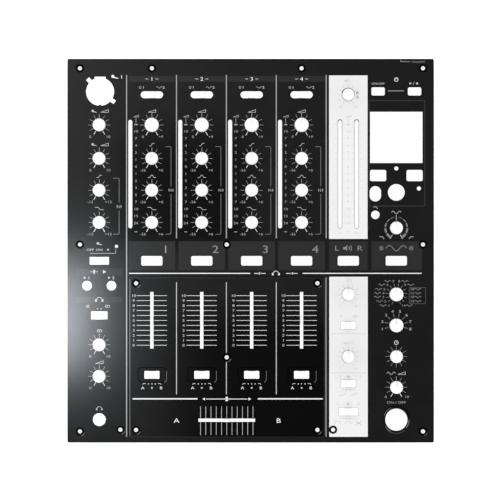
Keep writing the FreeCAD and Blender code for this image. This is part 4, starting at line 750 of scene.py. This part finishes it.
# Effects column, upper part: lamp, link keys, display and the labels in front of it
LAMP_X, LAMP_Y, LAMP_LABEL_X, LAMP_LABEL_Y = 131.1, 165.0, 146.4, 164.8
LAMP_LINE, LAMP_LINE_END, LAMP_MARGIN = 0.45, 139.0, 0.2
LINK_TITLE_Y, LINK_Y, ON_OFF_Y, ON_OFF_TEXT = 149.4, 146.0, 145.8, 1.7
LINK_SLASH = ((14.6, 144.8), (15.8, 147.2))
LINK_BAR = (119.7, 133.7, 139.2, 139.8)
DISPLAY, DISPLAY_LINE = (103.4, 152.0, 39.0, 131.0), 0.42
FILTER_KEY_Y, FILTER_TITLE_Y = 37.6, 33.4
lamp_path = [(LAMP_X, plate_high.y - LAMP_MARGIN), (LAMP_X, LAMP_Y), (LAMP_LINE_END, LAMP_Y)]
line_print.stroke(lamp_path, LAMP_LINE)
dim_print.text("ON/OFF", LAMP_LABEL_X, LAMP_LABEL_Y, ON_OFF_TEXT)
white_print.symbol("round_link", effects_x, LINK_TITLE_Y, 3.2)
light_print.row(effects_x, ON_OFF_Y, ("ON/OFF", -15.9, ON_OFF_TEXT))
light_print.row(effects_x, LINK_Y, ("play", 12.4, 2.2), ("stop", 18.2, 2.0))
light_print.row(effects_x, FILTER_KEY_Y, ("low_pass", -18.0, 2.2))
light_print.symbol("wave", effects_x, FILTER_TITLE_Y, 2.8)
light_print.stroke([(effects_x + across, along) for across, along in LINK_SLASH], TICK)
line_print.block(*LINK_BAR)
faint_print.stroke(corners(*DISPLAY), DISPLAY_LINE, closed=True)

# Filter dial: arcs that grow wider towards both ends
FILTER_HOLE, FILTER_TICK, FILTER_END_TICK, FILTER_RING = 6.5, 11.4, 11.0, 9.6
FILTER_ARCS = ((12, 32, 0.4), (38, 58, 0.8), (64, 86, 1.2), (92, 116, 1.6), (122, 147, 2.0))
FILTER_LABEL_DROP, FILTER_LABEL = 8.4, 2.4
x, y = spot("filter_frequency_knob")
light_print.ticks(x, y, FILTER_HOLE, FILTER_TICK, (0,), THIN)
white_print.ticks(x, y, FILTER_HOLE, FILTER_END_TICK, DIAL_ENDS, TICK)
for start, end, width in FILTER_ARCS:
    dim_print.arc(x, y, FILTER_RING, start, end, width)
    dim_print.arc(x, y, FILTER_RING, -end, -start, width)
filter_labels = [("low_pass", -12.6, FILTER_LABEL), ("high_pass", 13.0, FILTER_LABEL)]
light_print.row(x, y - FILTER_LABEL_DROP, *filter_labels)

# Effects column, lower part: a number and a wave for each effect, rows counted from the front
SELECT_HOLE, EFFECT_TICK, CHANNEL_TICK = 7.2, 9.4, 10.4
ROW_RISE = (-9.8, -6.0, -2.3, 1.0, 4.5, 8.3, 11.4)
ROW_START = (5.0, 8.2, 9.9, 9.9, 9.0, 6.3, 1.2)
ROW_NUMBER, ROW_WAVE, ROW_TEXT = 1.4, 6.4, 1.9
BOXED_ROWS, BOXED_START, BOX_LINE = range(1, 5), 12.4, 0.17
BOX_LEFT, BOX_RIGHT, BOX_FRONT, BOX_REAR = 11.3, 25.6, -8.1, 6.0
CHANNEL_RING, CHANNEL_NUMBER = 12.6, 2.3
CLOCK, EFFECT_KEY_LABEL_Y = 3.4, -132.4
x, y = spot("effect_select_knob")
line_print.ticks(x, y, SELECT_HOLE, EFFECT_TICK, EFFECT_SELECT, TICK)
for row, (rise, start) in enumerate(zip(ROW_RISE, ROW_START)):
    right_start = BOXED_START if row in BOXED_ROWS else start
    for side, inner, number in ((-1, start, row + 1), (1, right_start, len(EFFECT_SELECT) - row)):
        line_print.text(str(number), x + side * (inner + ROW_NUMBER), y + rise, ROW_TEXT)
        line_print.symbol("wave", x + side * (inner + ROW_WAVE), y + rise, ROW_TEXT, TICK)
box = corners(x + BOX_LEFT, x + BOX_RIGHT, y + BOX_FRONT, y + BOX_REAR)
dim_print.stroke(box, BOX_LINE, closed=True)
x, y = spot("effect_channel_knob")
line_print.ticks(x, y, SELECT_HOLE, CHANNEL_TICK, CHANNEL_SELECT, TICK)
for number, angle in enumerate(CHANNEL_SELECT, 1):
    light_print.text(str(number), *polar(x, y, CHANNEL_RING, angle), CHANNEL_NUMBER)
x, y = spot("effect_time_knob")
line_print.ticks(x, y, radius_of("effect_time_knob") + TICK_GAP, TICK_END, FULL_DIAL, TICK)
white_print.symbol("clock", x, y + LABEL_RISE, CLOCK)
line_print.text("ON / OFF", effects_x, EFFECT_KEY_LABEL_Y, TEXT)

# Silver strips: dials and meter scales
STRIP_GAP, STRIP_TICK, STRIP_LABEL_RISE, STRIP_LABEL, STRIP_END_OUT = 0.85, 9.3, 12.4, 3.4, 6.8
STRIP_DIALS = {
    "master_level_knob": ("speaker", "0", "10"),
    "balance_knob": ("stereo", "L", "R"),
    "booth_level_knob": ("ramp", "0", "10"),
}
METER_SPREAD, METER_EDGE, METER_TICK, METER_LETTER_Y = 7.25, 3.6, 0.8, 15.6
for knob, (symbol, least, most) in STRIP_DIALS.items():
    x, y = spot(knob)
    pale_print.ticks(x, y, radius_of(knob) + STRIP_GAP, STRIP_TICK, DIAL, PALE_LINE)
    pale_print.symbol(symbol, x, y + STRIP_LABEL_RISE, STRIP_LABEL, PALE_LINE)
    pale_print.row(x, y - END_DROP, (least, -STRIP_END_OUT, TEXT), (most, STRIP_END_OUT, TEXT))
meter_scale(pale_print, master_x)
for side, letter in zip(SIDES, "LR"):
    meter_x = master_x + side * METER_SPREAD
    pale_print.text(letter, meter_x, METER_LETTER_Y, TEXT)
    for place in range(-1, len(SCALE)):
        for edge in SIDES:
            y = SCALE_REAR - place * SCALE_STEP
            pale_print.dash(meter_x + edge * METER_EDGE, y, METER_TICK, PALE_HAIR)

# Silver strips: the marks of the slide switches
STEREO_LABEL_Y = -57.3
STRIP_LINES, STRIP_MARGIN = (-72.5, -106.7), 1.2
CURVE_TITLE_Y, CURVE_DOTS_Y, CURVE_LABEL_Y, CURVE_DASH = -109.8, -121.4, -125.3, 6.0
CROSS_TITLE_Y, CROSS_DOTS_Y, CROSS_LABEL_Y, CROSS_DASH = -133.6, -146.5, -150.4, 8.0
STRIP_TITLE, STRIP_DOT = 2.4, 0.55
STEREO_MARK, CURVE_MARK, CROSS_MARK = (SYMBOL, PALE_LINE), (3.2, THIN), (3.8, 0.55)
strip_left, strip_right = STRIPS[1][:2]
for y in STRIP_LINES:
    pale_print.stroke([(strip_left + STRIP_MARGIN, y), (strip_right - STRIP_MARGIN, y)], THIN)
for title_y, left, right in ((CURVE_TITLE_Y, "1 2", "3 4"), (CROSS_TITLE_Y, "A", "B")):
    pale_print.symbol("fader", master_x, title_y, *STEREO_MARK)
    pale_print.row(master_x, title_y, (left, -9.0, STRIP_TITLE), (right, 9.0, STRIP_TITLE))
for dots_y, reach in ((CURVE_DOTS_Y, CURVE_DASH), (CROSS_DOTS_Y, CROSS_DASH)):
    pale_print.dash(master_x, dots_y, reach, PALE_HAIR)
    pale_print.dots(master_x, dots_y, TWO_DOTS, STRIP_DOT)
pale_print.row(master_x, STEREO_LABEL_Y, ("mono", -6.0, *STEREO_MARK), ("stereo", 6.0, *STEREO_MARK))
curves = [("late_curve", -5.2, *CURVE_MARK), ("even_curve", 5.2, *CURVE_MARK)]
pale_print.row(master_x, CURVE_LABEL_Y, *curves)
crosses = [("flat_cross", -9.3), ("round_cross", 0.0), ("plain_cross", 9.0)]
pale_print.row(master_x, CROSS_LABEL_Y, *((*cross, *CROSS_MARK) for cross in crosses))

# Fader panel: dividers, of which the middle one parts around a screw
INSET_LINE, INSET_LINE_FRONT, INSET_LINE_REAR = 0.7, -125.3, -27.4
PART_FRONT, PART_REAR = -97.0, -89.0
whole = [(INSET_LINE_FRONT, INSET_LINE_REAR)]
parted = [(INSET_LINE_FRONT, PART_FRONT), (PART_REAR, INSET_LINE_REAR)]
for x, stretches in zip(divider_x[1:4], (whole, parted, whole)):
    for front, rear in stretches:
        light_print.bar(x, INSET_LINE, front, rear)

# Fader panel: scales of the channel faders and marks of their assign switches
SLOT_WIDTH, SLOT_LENGTH, SLOT_MARGIN = 3.05, 49.9, 0.1
SLOT_EDGE = SLOT_WIDTH / 2 + SLOT_MARGIN
SCALE_LINES, SCALE_LINE = 11, 0.36
FADER_REAR, FADER_STEP = -39.2, 4.33
FADER_LEFT, FADER_RIGHT, FADER_NUMBER_OUT, FADER_NUMBER = -13.3, 13.1, -15.9, 2.2
ASSIGN_LABEL_Y, ASSIGN_LABEL, ASSIGN_MIDDLE = -119.7, 2.3, 0.8
ASSIGN_DOTS_Y, ASSIGN_DOT = -116.2, 0.45
ASSIGN_HOOK = ((5.4, -115.9), (7.4, -115.9), (8.0, -116.9))
for x in channel_x:
    for place in range(SCALE_LINES):
        y = FADER_REAR - place * FADER_STEP
        for start, end in ((FADER_LEFT, -SLOT_EDGE), (SLOT_EDGE, FADER_RIGHT)):
            white_print.stroke([(x + start, y), (x + end, y)], SCALE_LINE)
        light_print.text(str(SCALE_LINES - 1 - place), x + FADER_NUMBER_OUT, y, FADER_NUMBER)
    white_print.row(x, ASSIGN_LABEL_Y, ("A", -8.0, ASSIGN_LABEL), ("B", 8.0, ASSIGN_LABEL))
    white_print.dots(x, ASSIGN_DOTS_Y, THREE_DOTS, ASSIGN_DOT)
    light_print.dot(x, ASSIGN_LABEL_Y, ASSIGN_MIDDLE)
    for side in SIDES:
        light_print.stroke([(x + side * across, along) for across, along in ASSIGN_HOOK], THIN)

# Fader panel: the line over the crossfader, its arrows and its scale
ASSIGN_LINE = (-129.8, -128.7)
ASSIGN_LINE_ENDS = ((-103.0, -46.4), (6.2, 62.9))
ARROW_Y, ARROW_OUT, ARROW_LINE, ARROW_LINE_WIDTH = -129.4, 20.0, 18.0, 0.6
ARROW_MIDDLE_WIDTH, ARROW_MIDDLE = 2.2, (-131.2, -127.6)
CROSS_FRONT, CROSS_REAR, CROSS_STEP, CROSS_LINE = -160.8, -135.9, 4.58, 0.42
CROSS_LETTERS, CROSS_LETTER_Y, CROSS_LETTER = (("A", -64.7), ("B", 24.3)), -148.2, 3.9
for ends in ASSIGN_LINE_ENDS:
    white_print.block(*ends, *ASSIGN_LINE)
white_print.row(cross_x, ARROW_Y, ("left", -ARROW_OUT, SYMBOL), ("right", ARROW_OUT, SYMBOL))
white_print.dash(cross_x, ARROW_Y, ARROW_LINE, ARROW_LINE_WIDTH)
white_print.bar(cross_x, ARROW_MIDDLE_WIDTH, *ARROW_MIDDLE)
for place in range(SCALE_LINES):
    x = cross_x + (place - (SCALE_LINES - 1) / 2) * CROSS_STEP
    for front, rear in ((CROSS_FRONT, cross_y - SLOT_EDGE), (cross_y + SLOT_EDGE, CROSS_REAR)):
        light_print.bar(x, CROSS_LINE, front, rear)
for letter, x in CROSS_LETTERS:
    white_print.text(letter, x, CROSS_LETTER_Y, CROSS_LETTER)


# Painted highlights and painted shade along edges, from here to the rear panel's print
def rounded_path(x, y, width, depth, corner):
    """Closed outline with round corners, clockwise from the right end of its rear side."""
    path = []
    for turn, across, along in ((0, 1, 1), (90, 1, -1), (180, -1, -1), (270, -1, 1)):
        middle_x = x + across * (width / 2 - corner)
        middle_y = y + along * (depth / 2 - corner)
        path += [polar(middle_x, middle_y, corner, turn + step) for step in range(0, 91, 15)]
    return path


# Painted shade round the wells of the assign switches, and a painted highlight along their right sides
# and front right corners
WELL, WELL_CORNER, WELL_SHADE = (24.3, 13.0), 3.0, 0.6
WELL_SHINE = slice(6, 12)
shine_outline = [side + 2 * WELL_SHADE for side in WELL]
for x in channel_x:
    painted_shade_print.stroke(rounded_path(x, assign_y, *WELL, WELL_CORNER), WELL_SHADE, closed=True)
    painted_highlight_print.stroke(rounded_path(x, assign_y, *shine_outline, WELL_CORNER + WELL_SHADE)[WELL_SHINE], HAIR)

# Painted shade and painted highlights on the dish around the effect key: start, end and width of each
# arc
DISH, DISH_FLOOR = 12.0, 11.2
DISH_SHADE, DISH_SHINE = (-70, 80, THIN), (140, 225, 0.2)
FLOOR_SHINE = ((92, 130, 0.7), (205, 240, 0.45), (290, 335, 0.45))
x, y = spot("effect_on_button")
painted_shade_print.arc(x, y, DISH, *DISH_SHADE)
painted_highlight_print.arc(x, y, DISH, *DISH_SHINE)
for arc in FLOOR_SHINE:
    painted_highlight_print.arc(x, y, DISH_FLOOR, *arc)

# Painted highlights along the inset panel's sides, and painted shade beside its sides and along its
# rear
INSET_GAP, INSET_SHINE, INSET_SHINE_TRIM = 0.4, 0.4, 1.0
LEFT_SHINE, RIGHT_SHINE = 0.2, 0.9
SIDE_SHADE, REAR_SHADE = 0.3, 0.35
inset_rear = inset_high.y + INSET_GAP + REAR_SHADE
for x in (inset_low.x + LEFT_SHINE, inset_high.x + INSET_GAP + RIGHT_SHINE):
    painted_highlight_print.bar(x, INSET_SHINE, inset_low.y + INSET_SHINE_TRIM, inset_high.y - INSET_SHINE_TRIM)
for x in (inset_low.x - INSET_GAP - SIDE_SHADE, inset_high.x + INSET_GAP + SIDE_SHADE):
    painted_shade_print.bar(x, THIN, inset_low.y, inset_rear)
painted_shade_print.stroke([(inset_low.x, inset_rear), (inset_high.x, inset_rear)], THIN)

# The screws: a ring of painted shade round each, and a painted highlight on those in front of the cue
# keys, apart from any on a silver strip
SCREW_REACH, SCREW_RING, SCREW_RING_WIDTH = 8.0, 3.45, 0.36
SCREW_SHINE, SCREW_SHINE_ARC = 3.9, (110, 165, 0.4)
for x, y in spots("panel_screws", SCREW_REACH):
    painted_shade_print.arc(x, y, SCREW_RING, 0, 360, SCREW_RING_WIDTH)
    if y < cue_y and not strip_left < x < strip_right:
        painted_highlight_print.arc(x, y, SCREW_SHINE, *SCREW_SHINE_ARC)

# Painted shade round the two meter slots in the silver strip, darkest at their rear ends
METER_Y, METER_LENGTH, METER_WIDTH, METER_RIM = 66.9, 94.7, 3.45, 0.15
METER_RIM_LINE, METER_SHADE_OUT, METER_SHADE = 0.28, 0.1, (-80, 80, 0.6)
SLOT_SIDES = slice(6, 22)
radius = METER_WIDTH / 2 + METER_RIM
for side in SIDES:
    x = master_x + side * METER_SPREAD
    slot = rounded_path(x, METER_Y, 2 * radius, METER_LENGTH + 2 * METER_RIM, radius)
    slot_shade_and_marks_print.stroke(slot[SLOT_SIDES], METER_RIM_LINE)
    painted_shade_print.arc(x, METER_Y + METER_LENGTH / 2 - radius, radius + METER_SHADE_OUT, *METER_SHADE)

# The master level dial, with a painted shade crescent at its rear and two numbers beside it
MASTER_SHADE_OUT, MASTER_SHADE = 0.47, (-75, 85, 0.7)
MASTER_MARKS, MASTER_MARK_OUT, MASTER_MARK = (("8", 1.65), ("9", -2.2)), 7.9, 2.5
x, y = spot("master_level_knob")
painted_shade_print.arc(x, y, radius_of("master_level_knob") + MASTER_SHADE_OUT, *MASTER_SHADE)
for mark, along in MASTER_MARKS:
    slot_shade_and_marks_print.text(mark, x + MASTER_MARK_OUT, y + along, MASTER_MARK)

# Rear panel print, laid out as seen from behind
REAR_FACE = Matrix.Scale(MM, 4) @ Matrix(
    ((-1, 0, 0, 0), (0, 0, 1, rear_face), (0, 1, 0, 0), (0, 0, 0, 1))
)
REAR_NUMBER_Z, REAR_LINE_Z, REAR_LINE = 70.0, 66.0, 14.0
REAR_MARK, OUTPUT_SPREAD, OUTPUT_LETTER = 5.0, 13.0, 4.0
OUTPUT_Z, SPEAKER_Z, LINK_X, LINK_Z, POWER_OUT = 64.5, 72.5, 111.1, 64.0, 21.0
rear_print = Print("print_rear", light_ink, REAR_FACE)
for number, x in enumerate(phono_columns):
    rear_print.text(str(number), -x, REAR_NUMBER_Z, REAR_MARK)
    rear_print.dash(-x, REAR_LINE_Z, REAR_LINE, THIN)
for side, letter in zip(SIDES, "LR"):
    rear_print.text(letter, -(master_x + side * OUTPUT_SPREAD), OUTPUT_Z, OUTPUT_LETTER)
rear_print.symbol("round_link", LINK_X, LINK_Z, REAR_MARK)
rear_print.symbol("power", -effects_x - POWER_OUT, OUTPUT_Z, REAR_MARK)
rear_print.symbol("speaker", -master_x, SPEAKER_Z, REAR_MARK)
top_prints = (white_print, light_print, line_print, dim_print, faint_print, pale_print)
for ink in (*top_prints, painted_shade_print, painted_highlight_print, slot_shade_and_marks_print, rear_print):
    ink.finish()


def soft_block(name, shader, centre, size, bevel, body=CHASSIS):
    """Block with rounded edges, as a mesh that rides on a body."""
    shape = bmesh.new()
    bmesh.ops.create_cube(shape, size=1.0)
    for corner in shape.verts:
        parts = zip(centre, corner.co, size)
        corner.co = [(middle + part * length) * MM for middle, part, length in parts]
    edges = shape.edges[:]
    bmesh.ops.bevel(shape, geom=edges, offset=bevel * MM, segments=2, affect="EDGES", profile=0.5)
    mesh = bpy.data.meshes.new(name)
    shape.to_mesh(mesh)
    shape.free()
    mesh.materials.append(shader.material)
    piece = add_object(name, mesh)
    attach(piece, body)


# Pointer lines down the rear side of each knob, below the groove in its cap
POINTER_WIDTH, POINTER_THICK, POINTER_PROUD, POINTER_ROUND = 1.0, 0.5, 0.12, 0.1
POINTER_FOOT, POINTER_HEAD = 1.2, 1.3
foot = plate_top + POINTER_FOOT
for name in controls:
    if "_knob" in name:
        x, y = spot(name)
        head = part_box(name)[1].z / MM - POINTER_HEAD
        centre = (x, y + radius_of(name) + POINTER_PROUD - POINTER_THICK / 2, (foot + head) / 2)
        size = (POINTER_WIDTH, POINTER_THICK, head - foot)
        soft_block(f"pointer_{name}", pointer_grey, centre, size, POINTER_ROUND, name)

# Dust shutters: a leaf on each side of a slide switch's lever, just under the plate's top
SELECTOR, SLIDE, WIDE_SLIDE, PHONES_SLIDE = (19.8, 6.45), (13.5, 7.2), (17.3, 7.2), (14.8, 7.5)
LEVER, LEVER_GAP = 6.0, 0.06
LEAF_GAP, LEAF_TOP, LEAF_THICK, LEAF_CORNER = 0.2, 0.2, 0.4, 0.7
switches = [(x, selector_y, SELECTOR) for x in channel_x]
switches += [(x, assign_y, SLIDE) for x in channel_x]
switches += [(mic_x, cue_y, WIDE_SLIDE), (mic_x, phones_switch_y, PHONES_SLIDE)]
switches += [(master_x, y, SLIDE) for y in (stereo_y, channel_curve_y)]
switches += [(master_x, cross_curve_y, WIDE_SLIDE)]
leaf_face = TOP_FACE @ Matrix.Translation((0, 0, -LEAF_TOP))
leaves = Print("switch_shutters", white_seal_painted_glow, leaf_face, LEAF_THICK)
inner = LEVER / 2 + LEVER_GAP
for x, y, (width, depth) in switches:
    half = depth / 2 - LEAF_GAP
    end = width / 2 - LEAF_GAP
    corner = half if (width, depth) == SELECTOR else LEAF_CORNER
    outline = [(inner, -half)]
    outline += [polar(end - corner, corner - half, corner, turn) for turn in range(180, 89, -15)]
    outline += [polar(end - corner, half - corner, corner, turn) for turn in range(90, -1, -15)]
    outline += [(inner, half)]
    for side in SIDES:
        leaves.area([(x + side * across, y + along) for across, along in outline])
leaves.finish()

# A dark gasket under the gap around the inset panel stands in for the shade in the gap
PLATE_THICK = 2.0
GASKET_DROP, GASKET_THICK, GASKET_WIDTH, GASKET_CORNER = 0.1, 0.5, 1.8, 1.5
gasket_face = TOP_FACE @ Matrix.Translation((0, 0, -PLATE_THICK - GASKET_DROP))
gap_shade_gasket = Print("panel_gap_shade_gasket", rubber, gasket_face, GASKET_THICK)
inset_middle = (inset_low + inset_high) / 2
inset_size = inset_high - inset_low
gap_sides = (inset_size.x + INSET_GAP, inset_size.y + INSET_GAP)
gap_path = rounded_path(inset_middle.x, inset_middle.y, *gap_sides, GASKET_CORNER)
gap_shade_gasket.stroke(gap_path, GASKET_WIDTH, closed=True)
gap_shade_gasket.finish()

# Dust seals: two soft lips in each fader slot
LIP_GAP, LIP_THICK, LIP_DROP, LIP_TRIM, LIP_ROUND = 0.1, 0.4, 0.45, 0.4, 0.12
lip_width = SLOT_WIDTH / 2 - LIP_GAP
lip_length = SLOT_LENGTH - LIP_TRIM
lip_z = plate_top - LIP_DROP
lip_shifts = [(hand, side * (LIP_GAP + lip_width) / 2) for side, hand in zip(SIDES, ("left", "right"))]
for n in CHANNELS:
    x, y = spot(f"channel_fader_{n}")
    size = (lip_width, lip_length, LIP_THICK)
    for hand, shift in lip_shifts:
        soft_block(f"seal_channel_{n}_{hand}", white_seal_painted_glow, (x + shift, y, lip_z), size, LIP_ROUND)
for hand, shift in lip_shifts:
    size = (lip_length, lip_width, LIP_THICK)
    soft_block(f"seal_cross_{hand}", white_seal_painted_glow, (cross_x, cross_y + shift, lip_z), size, LIP_ROUND)

# The floor lies under the feet and glows a little
FLOOR_HALF, FLOOR_GLOW = 20.0, 0.85
floor_mesh = bpy.data.meshes.new("floor")
floor_corners = corners(-FLOOR_HALF, FLOOR_HALF, -FLOOR_HALF, FLOOR_HALF)
floor_mesh.from_pydata([(x, y, 0.0) for x, y in floor_corners], [], [(0, 1, 2, 3)])
floor = add_object("floor", floor_mesh)
floor_paint = Shader("pale_floor", Base_Color=grey(0.9), Roughness=0.9)
floor_paint.glow(FLOOR_GLOW)
floor_mesh.materials.append(floor_paint.material)

# The sky is a bright ring with a dark patch overhead, so that the plate mirrors the dark patch
SKY_STRENGTH = 1.36
SKY = ((0.0, 0.6), (0.45, 1.0), (0.88, 1.0), (0.95, 0.03))
world = bpy.data.worlds.new("studio")
world.use_nodes = True
sky = world.node_tree
split = sky.nodes.new("ShaderNodeSeparateXYZ")
ramp = sky.nodes.new("ShaderNodeValToRGB")
sky.links.new(sky.nodes.new("ShaderNodeTexCoord").outputs["Generated"], split.inputs[0])
sky.links.new(split.outputs["Z"], ramp.inputs["Fac"])
sky.links.new(ramp.outputs["Color"], sky.nodes["Background"].inputs["Color"])
sky.nodes["Background"].inputs["Strength"].default_value = SKY_STRENGTH
stops = ramp.color_ramp.elements
while len(stops) < len(SKY):
    stops.new(0.5)
for stop, (height, glow) in zip(stops, SKY):
    stop.position = height
    stop.color = grey(glow)
bpy.context.scene.world = world
bpy.context.scene.view_settings.view_transform = "Standard"


def sheen_light(name, place, target, size, power, colour):
    """Soft light that only shows as a shine; places and size are metres, power is watts."""
    lamp = bpy.data.lights.new(name, "AREA")
    lamp.shape = "RECTANGLE"
    lamp.size, lamp.size_y = size
    lamp.energy = power
    lamp.color = colour
    lamp.use_shadow = False
    light = add_object(name, lamp)
    light.location = place
    light.rotation_euler = (Vector(target) - Vector(place)).to_track_quat("-Z", "Y").to_euler()
    light.visible_diffuse = False
    light.visible_camera = False


# A low cool light beside the left edge gives the plate's sheen, one at the rear left a faint glow
COOL, NEUTRAL = (0.86, 0.93, 1.0), (1.0, 1.0, 1.0)
SHEEN_SPOT, SHEEN_RISE, SHEEN_SIZE, SHEEN_POWER = (-0.175, -0.059), 0.12, (0.05, 0.085), 1.33
GLOW_SPOT, GLOW_RISE, GLOW_SIZE, GLOW_POWER = (-0.45, 0.30), 0.6, (0.3, 0.3), 9.0
plate_level = plate_top * MM
sheen_place = (*SHEEN_SPOT, plate_level + SHEEN_RISE)
sheen_light("sheen", sheen_place, (*SHEEN_SPOT, 0.0), SHEEN_SIZE, SHEEN_POWER, COOL)
glow_place = (*GLOW_SPOT, plate_level + GLOW_RISE)
sheen_light("glow", glow_place, (0.0, 0.0, plate_level), GLOW_SIZE, GLOW_POWER, NEUTRAL)

# The camera looks straight down from far above; its height is metres
PHOTO_SIZE, MM_PER_PIXEL = 500, 0.8727
CAMERA_HEIGHT, SENSOR = 5.0, 36.0
VIEW_X, VIEW_Y = -0.57, 0.63
camera_data = bpy.data.cameras.new("camera")
camera_data.sensor_width = SENSOR
camera_data.lens = SENSOR * CAMERA_HEIGHT / (PHOTO_SIZE * MM_PER_PIXEL * MM)
camera_data.clip_end = 4 * CAMERA_HEIGHT
camera = add_object("camera", camera_data)
camera.location = (VIEW_X * MM, VIEW_Y * MM, plate_level + CAMERA_HEIGHT)
bpy.context.scene.camera = camera
